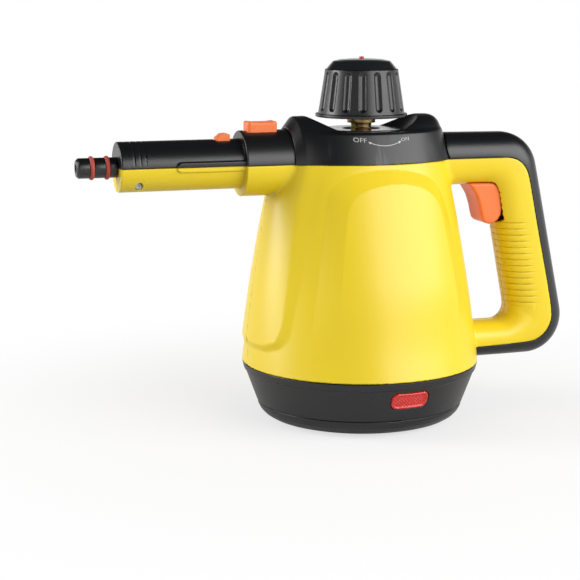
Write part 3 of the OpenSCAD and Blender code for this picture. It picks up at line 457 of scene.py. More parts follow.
def wall_box(half_length, half_height, depth, out, turn, height):
    """Lowest and highest corner of a box that stands on the ring's wall."""
    a, corners = math.radians(turn), []
    for u in (-half_length, half_length):
        for v in (-half_height, half_height):
            for w in (-depth, out):
                far = v * math.sin(LEAN) + w * math.cos(LEAN) + ring_r(height)
                corners.append((far * math.cos(a) - u * math.sin(a),
                                far * math.sin(a) + u * math.cos(a),
                                height + v * math.cos(LEAN) - w * math.sin(LEAN)))
    return [min(c) for c in zip(*corners)], [max(c) for c in zip(*corners)]


RING = [(63.4, 11.1), (ring_r(30.9), 30.9), (71.5, 31.3), (72.45, JOINT - 0.15),
        (69.3, JOINT - 0.15), (69.3, 39.2), (67.7, 39.2), (67.7, 34), (60.95, 11.1)]
PAN = [(0, 1.0), (49.6, 1.0), (53.2, 1.3), (56.5, 2.3), (59.3, 4.0), (61.4, 6.2), (62.7, 8.6),
       (63.1, 10.9), (60.7, 10.9), (60.3, 9.0), (59.2, 7.0), (57.4, 5.4), (54.6, 4.2), (51, 3.5),
       (0, 3.4)]


def base_ring(x, y, z):
    """Conical skirt with the openings for the lens and the gland."""
    ring = rounded(RING, 0.25, radius(x, y), z)
    u, v, w = on_wall(x, y, z, *LENS_AT)
    ring = cut(ring, meet(oblong(u, v, 24.1, 11.1, 4.2), -3 - w), 0.3)
    u, v, w = on_wall(x, y, z, *GLAND_AT)
    return cut(ring, meet(radius(u, v) - 6.65, -3 - w))


def base_pan(x, y, z):
    """Bottom of the base, with bosses and holes for its screws and seats for the feet."""
    r = radius(x, y)
    pan = rounded(PAN, 0.2, r, z)
    a, b = np.abs(x), np.abs(y)
    screw = radius(np.maximum(a, b) - PAN_SCREWS, np.minimum(a, b))
    pan = join(pan, meet(screw - 4.5, meet(z - 11, 1 - z)), 0.8)
    pan = cut(pan, meet(screw - 3.3, z - 6), 0.3)
    pan = cut(pan, screw - 1.62)
    pan = cut(pan, meet(radius(a - FEET, b - FEET) - 6.15, z - 2.2), 0.2)
    return cut(pan, meet(np.abs(r - 18) - 0.5, z - 1.3))


def lens(x, y, z):
    """Lens that follows the wall, with a smooth rim and a knurled middle."""
    u, v, _ = on_wall(x, y, z, *LENS_AT)
    wall = ring_cone(x, y, z)
    plate = oblong(u, v, 23.5, 10.5, 3.9)
    rim = np.clip(1 - np.abs(plate + 0.9) / 0.9, 0, 1)
    pitch = 2.1
    p, q = (u + v) / pitch, (u - v) / pitch
    knurl = 0.5 * (np.abs(p - np.round(p)) + np.abs(q - np.round(q)))
    top = wall - 0.1 - 0.45 * np.minimum(rim * 2, 1) + np.where(plate < -1.3, knurl, 0.15)
    return meet(meet(plate, top, 0.3), -wall - 3.2)


def gland(x, y, z):
    """Cord gland with a flange on the wall."""
    u, v, w = on_wall(x, y, z, *GLAND_AT)
    r = radius(u, v)
    flange = meet(r - 9 + np.maximum(w - 0.6, 0) * 0.8, w - 2.0)
    flange = meet(flange, -ring_cone(x, y, z) + 0.05, 0.3)
    neck = meet(r - 6.5, meet(w - 1.6, -7.4 - w))
    return cut(join(flange, neck), r - 3.5, 0.4)


# ---- forms of the small pieces ----

LATCH_PIVOT = (-42, 168.1)
TOOTH = [(-91, 168.6), (-83, 168.6), (-83, 175.7), (-85, 176.2), (-88, 175.9), (-91, 173.4)]
KNOB = [(26.0, 186.1), (21.9, 212.4), (19.5, 212.4), (19.85, 210.4), (8.6, 210.4), (8.6, 199.2),
        (5.1, 199.2), (5.1, 196.2), (11, 196.2), (11, 208.4), (20.16, 208.4), (23.6, 186.1),
        (23.6, 184.2), (27.6, 184.2), (27.6, 186.1)]


def latch(x, y, z):
    """Button and tooth on one lever."""
    u, width = x - BUTTON_X, np.abs(y) - 4
    bar = meet(meet(np.abs(x + 66.5) - 24.5, width), np.abs(z - 168.0) - 1.7, 0.5)
    top = z - 182.7 - 0.12 * np.clip(np.abs(u) - 5, 0, 3)
    plug = meet(oblong(u, y, 18.5, 11, 2.2), meet(top, 167 - z), 1.3)
    dish = np.clip(1 - (u ** 2 / 220 + y ** 2 / 70), 0, 1)
    plug = plug + 0.35 * dish * ramp(z, 181, 182.5)
    tooth = meet(rounded(TOOTH, 0.4, x, z), width, 0.5)
    hub = meet(rod_y(x, z, LATCH_PIVOT, 3), width)
    return cut(join(join(join(bar, plug, 0.6), tooth, 0.4), hub), rod_y(x, z, LATCH_PIVOT, 1.55))


def trigger(x, y, z):
    """Finger piece, its core, and the arm up to the push link."""
    half = np.abs(y)
    finger = meet(outline(FINGER, x, z), half - 10, 1.9)
    core = meet(outline(CORE, x, z), half - 6, 0.5)
    hub = meet(join(rod_y(x, z, PIVOT, 5.5), rod_y(x, z, (80, 160.1), 3)), half - 5, 0.4)
    arm = meet(meet(np.abs(x - 80.2) - 2.8, half - 5), np.abs(z - 155.1) - 5)
    return cut(join(join(finger, core), join(hub, arm)), rod_y(x, z, PIVOT, 2.05))


def knob(cap, x, y, z):
    """Hollow knob with flutes that lean with its wall."""
    r = radius(x, y)
    form = rounded(KNOB, 0.3, r, z)
    turn = 2 * math.pi / cap.flutes
    a = np.arctan2(y, x) - 0.19 * turn
    a = a - np.round(a / turn) * turn
    out, side = r * np.cos(a), r * np.sin(a)
    foot, flute_r, lean = 26.0, 2.4, math.atan2(4.1, 26.3)
    low, high = (np.array([foot + flute_r - cap.flute_depth / MM - up * math.tan(lean), at])
                 for up, at in ((4.4, 190.3), (22.9, 209.0)))
    e = high - low
    t = np.clip(((out - low[0]) * e[0] + (z - low[1]) * e[1]) / float(e @ e), 0, 1)
    flute = np.sqrt((out - low[0] - t * e[0]) ** 2 + (z - low[1] - t * e[1]) ** 2 + side ** 2)
    return cut(form, flute - flute_r, 0.5)


def cross_screw(head_r, head_h, shank_r, length, x, y, z):
    """Pan head with a cross recess; the head points down and the shank up."""
    r = radius(x, y)
    middle = head_r * 0.9   # height of the centre of the head's round face
    head = meet(r - head_r, meet(z, -head_h - z), 0.5)
    ball = np.sqrt(x * x + y * y + (z - middle) ** 2)
    head = meet(head, ball - math.hypot(head_r, head_h + middle) + 0.12)
    shank = meet(r - shank_r, meet(z - length, -z))
    arms = np.minimum(np.abs(x) + np.maximum(np.abs(y) - 10, 0), np.abs(y)) - head_r * 0.14
    recess = meet(meet(arms, r - head_r * 0.62), z + head_h * 0.35)
    return cut(join(head, shank), recess)


# ---- meshing ----

def surface_net(shape, low, high, step):
    """Vertices and quads of the surface of shape, one vertex for each cell that it cuts."""
    axes = [np.arange(a - 1.6 * step, b + 2.6 * step, step).astype(np.float32)
            for a, b in zip(low, high)]
    size = tuple(len(a) for a in axes)
    field = shape(axes[0][:, None, None], axes[1][None, :, None], axes[2][None, None, :])
    field = np.ascontiguousarray(np.broadcast_to(field, size), dtype=np.float32)
    inside = field < 0
    points, quads = [], []
    for axis in range(3):
        near, beyond = (tuple(part if k == axis else slice(None) for k in range(3))
                        for part in (slice(0, -1), slice(1, None)))
        crossed = inside[near] != inside[beyond]
        place = np.argwhere(crossed)
        v0, v1 = field[near][crossed], field[beyond][crossed]
        point = place.astype(np.float64)
        point[:, axis] += v0 / (v0 - v1)
        b, c = (axis + 1) % 3, (axis + 2) % 3
        ring = []
        for db, dc in ((0, 0), (1, 0), (1, 1), (0, 1)):
            cell = place.copy()
            cell[:, b] -= db
            cell[:, c] -= dc
            ring.append((cell[:, 0] * size[1] + cell[:, 1]) * size[2] + cell[:, 2])
        ring = np.stack(ring, 1)
        ring[v0 > 0] = ring[v0 > 0][:, ::-1]
        points.append(point)
        quads.append(ring)
    points, quads = np.concatenate(points), np.concatenate(quads)
    _, corner = np.unique(quads, return_inverse=True)
    corner = corner.reshape(-1)
    count = np.bincount(corner)
    verts = [np.bincount(corner, np.repeat(points[:, k], 4)) / count for k in range(3)]
    return np.array([a[0] for a in axes]) + np.stack(verts, 1) * step, corner.reshape(-1, 4)


def slope(shape, p, h=0.04):
    """Gradient of a distance function at the points p."""
    g = np.empty_like(p)
    for k in range(3):
        d = np.zeros(3)
        d[k] = h
        g[:, k] = (shape(*(p + d).T) - shape(*(p - d).T)) / (2 * h)
    return g


def settle(shape, p, reach, rounds=2):
    """Moves points onto the surface, each round by no more than reach."""
    for _ in range(rounds):
        g = slope(shape, p)
        move = -(shape(*p.T) / np.maximum((g * g).sum(1), 0.2))[:, None] * g
        far = np.linalg.norm(move, axis=1, keepdims=True)
        p = p + move * np.minimum(1, reach / np.maximum(far, 1e-9))
    return p


def add_object(name, data):
    """Object in the scene for a mesh or a text."""
    piece = bpy.data.objects.new(name, data)
    bpy.context.scene.collection.objects.link(piece)
    return piece


def triangle_mesh(name, verts, faces):
    """Piece from many points in millimetres and triangles."""
    mesh = bpy.data.meshes.new(name)
    mesh.vertices.add(len(verts))
    mesh.vertices.foreach_set("co", (verts * MM).astype(np.float32).ravel())
    mesh.loops.add(faces.size)
    mesh.loops.foreach_set("vertex_index", faces.astype(np.int32).ravel())
    mesh.polygons.add(len(faces))
    mesh.polygons.foreach_set("loop_start", np.arange(0, faces.size, 3, dtype=np.int32))
    mesh.update(calc_edges=True)
    mesh.validate()
    return add_object(name, mesh)


def plain_mesh(name, verts, faces, soft=True):
    """Piece from points in millimetres and faces; a soft one is smooth but for its creases."""
    mesh = bpy.data.meshes.new(name)
    mesh.from_pydata([tuple(float(c) * MM for c in v) for v in verts], [], faces)
    if soft:
        mesh.polygons.foreach_set("use_smooth", np.ones(len(faces), bool))
        mesh.set_sharp_from_angle(angle=CREASE)
    return add_object(name, mesh)


def points_of(mesh):
    """The points of a mesh, in millimetres."""
    p = np.empty(len(mesh.vertices) * 3, np.float32)
    mesh.vertices.foreach_get("co", p)
    return p.reshape(-1, 3).astype(np.float64) / MM


def shade(mesh, shape, p):
    """Smooth shading, with normals from the slope of shape at the points p."""
    g = slope(shape, p, 0.12)
    g /= np.maximum(np.linalg.norm(g, axis=1, keepdims=True), 1e-9)
    mesh.polygons.foreach_set("use_smooth", np.ones(len(mesh.polygons), bool))
    mesh.normals_split_custom_set_from_vertices(g.tolist())
    mesh.update()


def thinned(piece, keep):
    """Leaves only a share of a piece's triangles, most where it is curved."""
    piece.modifiers.new("thin", "DECIMATE").ratio = keep
    graph = bpy.context.evaluated_depsgraph_get()
    mesh = bpy.data.meshes.new_from_object(piece.evaluated_get(graph))
    old, name = piece.data, piece.data.name
    piece.modifiers.clear()
    piece.data = mesh
    bpy.data.meshes.remove(old)
    mesh.name = name


def carve(name, shape, low, high, step, keep):
    """Piece carved from a distance function: meshed, thinned where it is flat, and shaded."""
    step = step / FINE ** 0.8
    verts, quads = surface_net(shape, low, high, step)
    verts = settle(shape, verts, 0.5 * step)
    piece = triangle_mesh(name, verts, np.concatenate([quads[:, [0, 1, 2]], quads[:, [0, 2, 3]]]))
    thinned(piece, keep)
    mesh = piece.data
    p = settle(shape, points_of(mesh), 0.3 * step, 1)
    mesh.vertices.foreach_set("co", (p * MM).astype(np.float32).ravel())
    shade(mesh, shape, p)
    return piece


def mirror_y(name, source, shape):
    """A carved piece of triangles again, on the other side of the middle plane."""
    corners = np.empty(len(source.data.loops), np.int32)
    source.data.loops.foreach_get("vertex_index", corners)
    p = points_of(source.data) * (1, -1, 1)
    piece = triangle_mesh(name, p, corners.reshape(-1, 3)[:, ::-1])
    shade(piece.data, lambda x, y, z: shape(x, -y, z), p)
    return piece


def filleted(points, r, k):
    """The closed outline with each corner turned into a small arc."""
    done, n = [], len(points)
    for i in range(n):
        a, b, c = (np.array(points[j % n], float) for j in (i - 1, i, i + 1))
        da, dc = a - b, c - b
        la, lc = np.linalg.norm(da), np.linalg.norm(dc)
        if b[0] < 1e-6 or min(la, lc) < 1e-6:
            done.append(b)
            continue
        t = min(r, la * 0.45, lc * 0.45)
        p, q = b + da / la * t, b + dc / lc * t
        for s in np.linspace(0, 1, k + 1):
            done.append((1 - s) ** 2 * p + 2 * s * (1 - s) * b + s * s * q)
    return done


def circle(around):
    """Cosine and sine of each of a number of directions."""
    return [(math.cos(2 * math.pi * j / around), math.sin(2 * math.pi * j / around))
            for j in range(around)]


def spun(name, points, r, around, place=(0, 0, 0), along_x=False, k=3):
    """Turned piece: an outline of radius and height spun about Z, or about the barrel's axis."""
    line = filleted(points, r, k)
    line = [p for i, p in enumerate(line) if np.linalg.norm(p - line[i - 1]) > 1e-5]
    verts, rings, faces = [], [], []
    for far, high in line:
        count = 1 if far < 1e-6 else around
        rings.append([len(verts) + j % count for j in range(around)])
        verts += [(far * c, far * s, high) for c, s in circle(around)[:count]]
    for i, ring in enumerate(rings):
        last = rings[i - 1]
        if ring[0] == ring[1] and last[0] == last[1]:
            continue
        for j in range(around):
            m = (j + 1) % around
            faces.append(tuple(dict.fromkeys((last[j], last[m], ring[m], ring[j]))))
    if along_x:
        verts = [(-v[2], v[1], v[0]) for v in verts]
    return plain_mesh(name, [[v[c] + place[c] for c in range(3)] for v in verts], faces)


def swept(name, rings):
    """Closed piece with rings of points, in millimetres, joined one to the next."""
    n, count = len(rings[0]), len(rings)
    faces = [(i * n + k, (i + 1) * n + k, (i + 1) * n + (k + 1) % n, i * n + (k + 1) % n)
             for i in range(count - 1) for k in range(n)]
    faces += [tuple(range(n)), tuple(reversed(range((count - 1) * n, count * n)))]
    return plain_mesh(name, [point for ring in rings for point in ring], faces)


def coil(name, low, high, wire, turns):
    """Coil spring along x that fills the box from low to high; its end turns lie closer."""
    reach, coil_r = high[0] - low[0] - 2 * wire, (high[1] - low[1]) / 2 - wire
    centre = np.array((low[0] + wire, (low[1] + high[1]) / 2, (low[2] + high[2]) / 2))
    lead = reach / (2 * math.pi * turns)
    steps, rings = int(turns * 28), []
    for i in range(steps + 1):
        t = i / steps
        a = 2 * math.pi * turns * t
        out = np.array((0, math.cos(a), math.sin(a)))
        side = np.array((coil_r, lead * math.sin(a), -lead * math.cos(a)))
        side /= math.hypot(coil_r, lead)
        middle = centre + coil_r * out + np.array((reach * (t + 0.75 * (smooth(t) - t)), 0, 0))
        rings.append([middle + wire * (c * out + s * side) for c, s in circle(12)])
    return swept(name, rings)


def leaf(name, low, high, thickness, steps=32):
    """Leaf spring in an even curve, from the high end at its low x down to the other end."""
    half = thickness / 2
    rings = []
    for t in np.linspace(0, 1, steps + 1):
        x = low[0] + (high[0] - low[0]) * t
        z = high[2] - half - (high[2] - low[2] - thickness) * smooth(t)
        rings.append([(x, low[1], z - half), (x, low[1], z + half),
                      (x, high[1], z + half), (x, high[1], z - half)])
    return swept(name, rings)


# ---- materials ----

def linear(hex_colour, factor=1.0):
    """Linear RGBA of an sRGB hex value, made lighter or darker by a factor."""
    c = [int(hex_colour[i:i + 2], 16) / 255 for i in (1, 3, 5)]
    c = [v / 12.92 if v <= 0.04045 else ((v + 0.055) / 1.055) ** 2.4 for v in c]
    return tuple(min(1.0, v * factor) for v in c) + (1.0,)


def add_node(tree, kind, inputs=None, **settings):
    """Adds a node, sets its options, and sets or links its inputs."""
    node = tree.nodes.new(kind)
    for key, value in settings.items():
        setattr(node, key, value)
    for key, value in (inputs or {}).items():
        if isinstance(value, bpy.types.NodeSocket):
            tree.links.new(value, node.inputs[key])
        else:
            node.inputs[key].default_value = value
    return node


def blank(owner):
    """Empties the node tree of a material or world, and returns what adds a node to it."""
    owner.use_nodes = True
    owner.node_tree.nodes.clear()
    return partial(add_node, owner.node_tree)


def new_material(name):
    """Material without nodes, and what adds a node to it."""
    material = bpy.data.materials.get(name) or bpy.data.materials.new(name)
    return material, blank(material)


# A mix node's sockets are picked by place, 6 and 7 and output 2 for colours, because its kinds
# of value share their names.

def grip_lines(add, where):
    """Mask of thin grooves across the flanks of the grip, 1 in a groove and 0 elsewhere; it drives
    their bump and their painted shade.
    """
    part = add("ShaderNodeSeparateXYZ", {"Vector": where})
    up = part.outputs["Z"]
    step = add("ShaderNodeMath", {0: up, 1: GROOVE_PITCH / 2 * MM}, operation="PINGPONG")
    line = add("ShaderNodeMapRange", {
        "Value": step.outputs[0], "From Max": 0.34 * MM, "To Min": 1.0, "To Max": 0.0})
    # distance across the grip, measured along its lean
    across = add("ShaderNodeMath", {0: up, 1: GRIP_LEAN, 2: part.outputs["X"]},
                 operation="MULTIPLY_ADD").outputs[0]
    fade = add("ShaderNodeMapRange", {
        "Value": across, "From Min": 122 * MM, "From Max": 129 * MM, "To Min": 1.0, "To Max": 0.0})
    inner = add("ShaderNodeMath", {0: across, 1: 108 * MM}, operation="GREATER_THAN")
    middle = add("ShaderNodeMath", {0: up, 1: GROOVE_MIDDLE * MM, 2: GROOVE_REACH * MM},
                 operation="COMPARE")
    lines = line.outputs[0]
    for mask in (inner, middle, fade):
        lines = add("ShaderNodeMath", {0: lines, 1: mask.outputs[0]}, operation="MULTIPLY")
        lines = lines.outputs[0]
    return lines


def moulded(name, colour, roughness, grain=0.5, depth=0.05, vary=0.04, mottle=30.0, ior=1.53,
            grooves_and_painted_shade=False, **sockets):
    """Injection-moulded plastic: even colour, faint flow marks, and the mould's fine grain; on
    request also the grip's grooves, with painted shade in them.
    """
    material, add = new_material(name)
    where = add("ShaderNodeTexCoord").outputs["Object"]
    flow = add("ShaderNodeTexNoise", {
        "Vector": where, "Scale": 1000 / mottle, "Detail": 3.0, "Roughness": 0.5}).outputs["Fac"]
    tone = add("ShaderNodeMix", {
        "Factor": flow, 6: linear(colour, 1 - vary), 7: linear(colour, 1 + vary)},
        data_type="RGBA")
    pits = add("ShaderNodeTexNoise", {
        "Vector": where, "Scale": 1000 / grain, "Detail": 2.0, "Roughness": 0.6})
    gloss = add("ShaderNodeMapRange", {
        "Value": flow, "To Min": roughness * 0.9, "To Max": roughness * 1.12})
    bump = add("ShaderNodeBump", {
        "Height": pits.outputs["Fac"], "Strength": 0.35, "Distance": depth * MM})
    if grooves_and_painted_shade:
        lines = grip_lines(add, where)
        # painted shade: the colour is multiplied darker in each groove; the bump below shapes the
        # groove itself
        tone = add("ShaderNodeMix", {0: lines, 6: tone.outputs[2], 7: linear("#E2D8AC")},
                   data_type="RGBA", blend_type="MULTIPLY")
        bump = add("ShaderNodeBump", {
            "Height": lines, "Strength": 0.8, "Distance": 0.3 * MM,
            "Normal": bump.outputs["Normal"]}, invert=True)
    shader = add("ShaderNodeBsdfPrincipled", {
        "Base Color": tone.outputs[2], "Roughness": gloss.outputs["Result"], "IOR": ior,
        "Normal": bump.outputs["Normal"], **sockets})
    add("ShaderNodeOutputMaterial", {"Surface": shader.outputs["BSDF"]})
    return material


def worked_metal(name, colour, roughness, pitch, strength=0.2, dull="#6E6A62", dull_share=0.12):
    """Machined or drawn metal: fine lines of the tool, and a little tarnish in patches."""
    material, add = new_material(name)
    where = add("ShaderNodeTexCoord").outputs["Object"]
    lines = add("ShaderNodeTexWave", {
        "Vector": where, "Scale": 1000 / pitch / 20, "Distortion": 1.5, "Detail": 2.0,
        "Detail Scale": 4.0}, bands_direction="Z")
    patches = add("ShaderNodeTexNoise", {
        "Vector": where, "Scale": 1000 / 9, "Detail": 4.0}).outputs["Fac"]
    amount = add("ShaderNodeMapRange", {
        "Value": patches, "From Min": 0.5, "From Max": 0.75, "To Max": dull_share})
    tone = add("ShaderNodeMix", {
        "Factor": amount.outputs["Result"], 6: linear(colour), 7: linear(dull)}, data_type="RGBA")
    gloss = add("ShaderNodeMapRange", {
        "Value": patches, "To Min": roughness * 0.8, "To Max": roughness * 1.25})
    bump = add("ShaderNodeBump", {
        "Height": lines.outputs["Fac"], "Strength": strength, "Distance": 0.03 * MM})
    shader = add("ShaderNodeBsdfPrincipled", {
        "Base Color": tone.outputs[2], "Roughness": gloss.outputs["Result"], "Metallic": 1.0,
        "Normal": bump.outputs["Normal"]})
    add("ShaderNodeOutputMaterial", {"Surface": shader.outputs["BSDF"]})
    return material


def finishes(colours):
    """Every finish on the steamer, by name."""
    return {
        # ABS from a lightly grained mould: satin, with soft wide highlights, and painted shade in
        # the grip's grooves
        "yellow_abs": moulded(
            "yellow_grained_ABS", colours.yellow, 0.36, vary=0.015, grooves_and_painted_shade=True),
        # The same plastic in black; grey sheen where the light falls flat
        "black_abs": moulded("black_grained_ABS", colours.black, 0.33, vary=0.06),
        # Polished mould: mirror-like black of the filler plate and the crown
        "black_gloss": moulded("black_polished_ABS", "#1C1D1F", 0.16, depth=0.01, vary=0.03),
        # Orange acetal controls, a touch waxy
        "orange_pom": moulded(
            "orange_moulded_acetal", colours.orange, 0.38, vary=0.02, ior=1.48),
        # Clear red polycarbonate over a lamp: deep colour and bright facets, and a painted glow, as
        # the lens itself gives off red light as if lit from behind
        "red_pc": moulded(
            "red_tinted_polycarbonate", colours.red, 0.16, depth=0.01, vary=0.05, mottle=12,
            ior=1.585, **{"Emission Color": linear(colours.red), "Emission Strength": 0.22,
                          "Coat Weight": 0.3, "Coat Roughness": 0.1}),
        # Red nylon pin
        "red_nylon": moulded("red_moulded_nylon", "#C8281E", 0.42),
        # Silicone seals: matt, slightly dusty
        "silicone": moulded(
            "red_moulded_silicone", colours.seal, 0.55, vary=0.08, mottle=6, ior=1.41),
        # Rubber feet and boiler seal: matt black
        "rubber": moulded(
            "black_moulded_rubber", "#2A2A2B", 0.75, grain=0.7, depth=0.08, vary=0.1),
        # Steatite block: off-white and slightly rough
        "ceramic": moulded(
            "white_pressed_steatite", "#E2DDD0", 0.6, grain=0.8, depth=0.08, mottle=8, ior=1.6),
        # Glass of the neon lamp
        "lamp_glass": moulded(
            "blown_lamp_glass", "#F1B49B", 0.08, depth=0.005, **{"Transmission Weight": 0.6}),
        # White pad-printing ink, a thin matt film
        "ink": moulded(
            "white_pad_print_ink", colours.ink, 0.5, grain=0.3, depth=0.02, vary=0.03),
        # Brass turned on a lathe, its colour painted darker as shade for the threaded stem under
        # the cap
        "brass": worked_metal(
            "turned_brass", "#9C8558", 0.34, 0.35, dull="#4A3C24", dull_share=0.35),
        # Zinc-plated steel screws, pins, springs
        "steel": worked_metal("zinc_plated_steel", "#9A9DA1", 0.34, 0.3),
        # Spun aluminium boiler and drawn pipe
        "alloy": worked_metal("spun_aluminium", "#CDD0D3", 0.34, 0.6, strength=0.3),
        # Heater tube oxidised to grey-brown
        "heater": worked_metal(
            "oxidised_heater_sheath", "#7E756A", 0.5, 0.5, dull="#4A4038", dull_share=0.6),
    }


FINISH = {}
INNER = {
    "steel": ("pan_screws", "ring_screws", "shell_screws", "valve_plunger", "valve_spring",
              "push_link", "trigger_pin", "trigger_spring", "latch_pin", "latch_spring",
              "cap_spring", "boiler_bolt_set", "boiler_tray", "boiler_posts", "thermal_fuse"),
    "brass": ("valve_body", "filler_neck", "relief_valve", "cap_plug"),
    "alloy": ("steam_pipe", "boiler_upper", "boiler_lower"),
    "rubber": ("boiler_seal", "rubber_feet"),
    "silicone": ("cap_gasket", "o_rings"),
    "ceramic": ("terminal_block", "thermostat"),
    "heater": ("heating_element",),
    "lamp_glass": ("indicator_lamp",),
}


def paint(piece, finish):
    """Gives a piece one of the finishes alone."""
    piece.data.materials.clear()
    piece.data.materials.append(FINISH[finish])


def dress(piece, finish, *nodes, body="housing"):
    """Gives a piece its finish and its body, and hides the CAD nodes that it stands for."""
    paint(piece, finish)
    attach(piece, body)
    if nodes:
        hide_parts(*nodes)


# ---- operators ----

class STEAMER_OT_finishes(bpy.types.Operator):
    """Makes the finishes and gives the inner pieces theirs."""
    bl_idname = "steamer.finishes"
    bl_label = "Finishes"

    def execute(self, context):
        FINISH.clear()
        FINISH.update(finishes(context.scene.steamer_colours))
        for finish, names in INNER.items():
            for name in names:
                paint(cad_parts[name], finish)
        return {"FINISHED"}


class STEAMER_OT_shells(bpy.types.Operator):
    """Carves the left shell and mirrors it for the right one."""
    bl_idname = "steamer.shells"
    bl_label = "Body shells"

    def execute(self, context):
        shape = partial(shell_half, context.scene.steamer_casing)
        left = carve("shell_left", shape, (-150.5, -73, 35), (141, 0, 159), 0.8, 0.3)
        right = mirror_y("shell_right", left, shape)
        dress(left, "yellow_abs", "body_shell_left")
        dress(right, "yellow_abs", "body_shell_right")
        return {"FINISHED"}


class STEAMER_OT_covers(bpy.types.Operator):
    """Carves the black covers of body, barrel and handle."""
    bl_idname = "steamer.covers"
    bl_label = "Covers"

    def execute(self, context):
        for name, node, shape, low, high, step, keep in (
                ("cover_top", "top_cover", top_cover,
                 (-54, -36, 157), (57, 36, 186), 0.62, 0.35),
                ("cover_barrel", "barrel_cover", barrel_cover,
                 (-150.5, -20, 157), (-46, 20, 178), 0.62, 0.35),
                ("cover_handle", "handle_cover", handle_cover,
                 (38, -16, 31), (141, 16, 174), 0.75, 0.3)):
            shape = partial(shape, context.scene.steamer_casing)
            dress(carve(name, shape, low, high, step, keep), "black_abs", node)
        return {"FINISHED"}


class STEAMER_OT_base(bpy.types.Operator):
    """Carves the base ring, the pan, the lens and the gland, and turns the feet."""
    bl_idname = "steamer.base"
    bl_label = "Base"

    def execute(self, context):
        for name, node, finish, shape, box, step, keep in (
                ("ring_base", "base_ring", "black_abs", base_ring,
                 ((-73, -73, 11), (73, 73, 40)), 0.8, 0.3),
                ("pan_base", "base_pan", "black_abs", base_pan,
                 ((-64, -64, 0.9), (64, 64, 11.2)), 0.7, 0.25),
                ("lens_indicator", "indicator_lens", "red_pc", lens,
                 wall_box(14, 7, 4.5, 1.5, *LENS_AT), 0.26, 0.6),
                ("gland_cord", "cord_gland", "black_abs", gland,
                 wall_box(9.5, 9.5, 8, 2.5, *GLAND_AT), 0.4, 0.4)):
            dress(carve(name, shape, *box, step, keep), finish, node)
        pad = [(0, 0), (6, 0), (6, 2.15), (0, 2.15)]
        for i, (sx, sy) in enumerate(((1, 1), (-1, 1), (-1, -1), (1, -1))):
            foot = spun(f"foot_{i + 1}", pad, 0.5, 40, (FEET * sx, FEET * sy, 0))
            dress(foot, "rubber", "rubber_feet")
        return {"FINISHED"}


class STEAMER_OT_nozzle(bpy.types.Operator):
    """Turns the nozzle tube and its two O-rings."""
    bl_idname = "steamer.nozzle"
    bl_label = "Nozzle"

    def execute(self, context):
        line = [(4.7, 173.7), (5.9, 172.4), (5.9, 166.25), (4.35, 166.25), (4.35, 163.55),
                (5.9, 163.55), (5.9, 157.25), (4.35, 157.25), (4.35, 154.55), (5.9, 154.55),
                (5.9, 150.05), (5.3, 150.05), (5.3, 147.6), (9, 147.6), (9, 145), (5.3, 145),
                (5.3, 120), (3.1, 120), (3.1, 126), (2.5, 126), (2.5, 173.7)]
        axis = (0, 0, SPLIT)
        dress(spun("tube_nozzle", line[::-1], 0.25, 72, axis, True), "black_abs", "nozzle_tube")
        middle_r, wire = 5.65, 1.3
        for i, at in enumerate((164.9, 155.9)):
            ring = [(middle_r + wire * c, at + wire * s) for c, s in circle(20)]
            dress(spun(f"ring_seal_{i + 1}", ring, 0.001, 64, axis, True, 1), "silicone", "o_rings")
        return {"FINISHED"}


class STEAMER_OT_controls(bpy.types.Operator):
    """Carves the release latch and the trigger."""
    bl_idname = "steamer.controls"
    bl_label = "Latch and trigger"

    def execute(self, context):
        button = carve("latch_release", latch, (-91.5, -6, 164), (-38.5, 6, 183), 0.4, 0.4)
        dress(button, "orange_pom", "release_latch", body="latch_lever")
        lever = carve("trigger_finger", trigger, (64.5, -10.2, 115.5), (93, 10.2, 164), 0.45, 0.4)
        dress(lever, "orange_pom", "trigger", body="trigger_lever")
        return {"FINISHED"}


class STEAMER_OT_springs(bpy.types.Operator):
    """Winds the trigger's spring and bends the latch's leaf."""
    bl_idname = "steamer.springs"
    bl_label = "Springs"

    def execute(self, context):
        for name, node, joint, axis, keep in (
                ("spring_trigger", "trigger_spring", "trigger_pull", (1, 0, 0), 0.62),
                ("spring_latch", "latch_spring", "latch_press", (0, 0, 1), 0.53)):
            low, high = ([c / MM for c in corner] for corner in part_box(node))
            if name == "spring_trigger":
                piece, foot = coil(name, low, high, 0.5, 6), (low[2] + high[2]) / 2
            else:
                piece, foot = leaf(name, low, high, 0.4), low[2]
            dress(piece, "steel", node)
            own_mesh(piece)
        return {"FINISHED"}


class STEAMER_OT_cap(bpy.types.Operator):
    """Carves the cap's knob and turns its crown, pin and plug, and the plate under it."""
    bl_idname = "steamer.cap"
    bl_label = "Filler cap"

    def execute(self, context):
        grip = carve("knob_cap", partial(knob, context.scene.steamer_cap),
                     (-28, -28, 184), (28, 28, 212.6), 0.5, 0.4)
        dress(grip, "black_abs", "cap_knob", body="knob")
        crown = [(1.45, 210.8), (19.4, 210.8), (19.4, 212.4), (21.3, 212.4), (17.2, 217.2),
                 (13, 218.1), (7, 218.6), (1.45, 218.7)]
        dress(spun("crown_cap", crown, 0.5, 96), "black_gloss", "cap_crown", body="knob")
        pin = [(0, 210.8), (1.4, 210.8), (1.4, 219.8), (0, 219.8)]
        dress(spun("pin_crown", pin, 0.4, 32), "red_nylon", "crown_pin", body="knob")
        base, top = (corner[2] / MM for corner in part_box("cap_plug"))
        plug = [(0, base), (5.5, base)]
        z, thread_top, pitch = base + 1, 178.5, 1.5
        while z < thread_top:
            plug += [(6.0, z), (6.5, z + 0.5), (6.5, z + 0.8), (6.0, z + 1.3)]
            z += pitch
        plug += [(6.3, 180.6), (8.5, 180.6), (8.5, 183.2), (5, 183.2), (5, 199.2), (8, 199.2),
                 (8, top), (0, top)]
        dress(spun("plug_cap", plug, 0.15, 72, k=2), "brass", "cap_plug", body="plug")
        plate = [(11.2, WELL), (24.7, WELL), (24.7, 177.0), (11.2, 177.0)]
        dress(spun("plate_filler", plate, 0.45, 96), "black_gloss", "filler_plate")
        return {"FINISHED"}


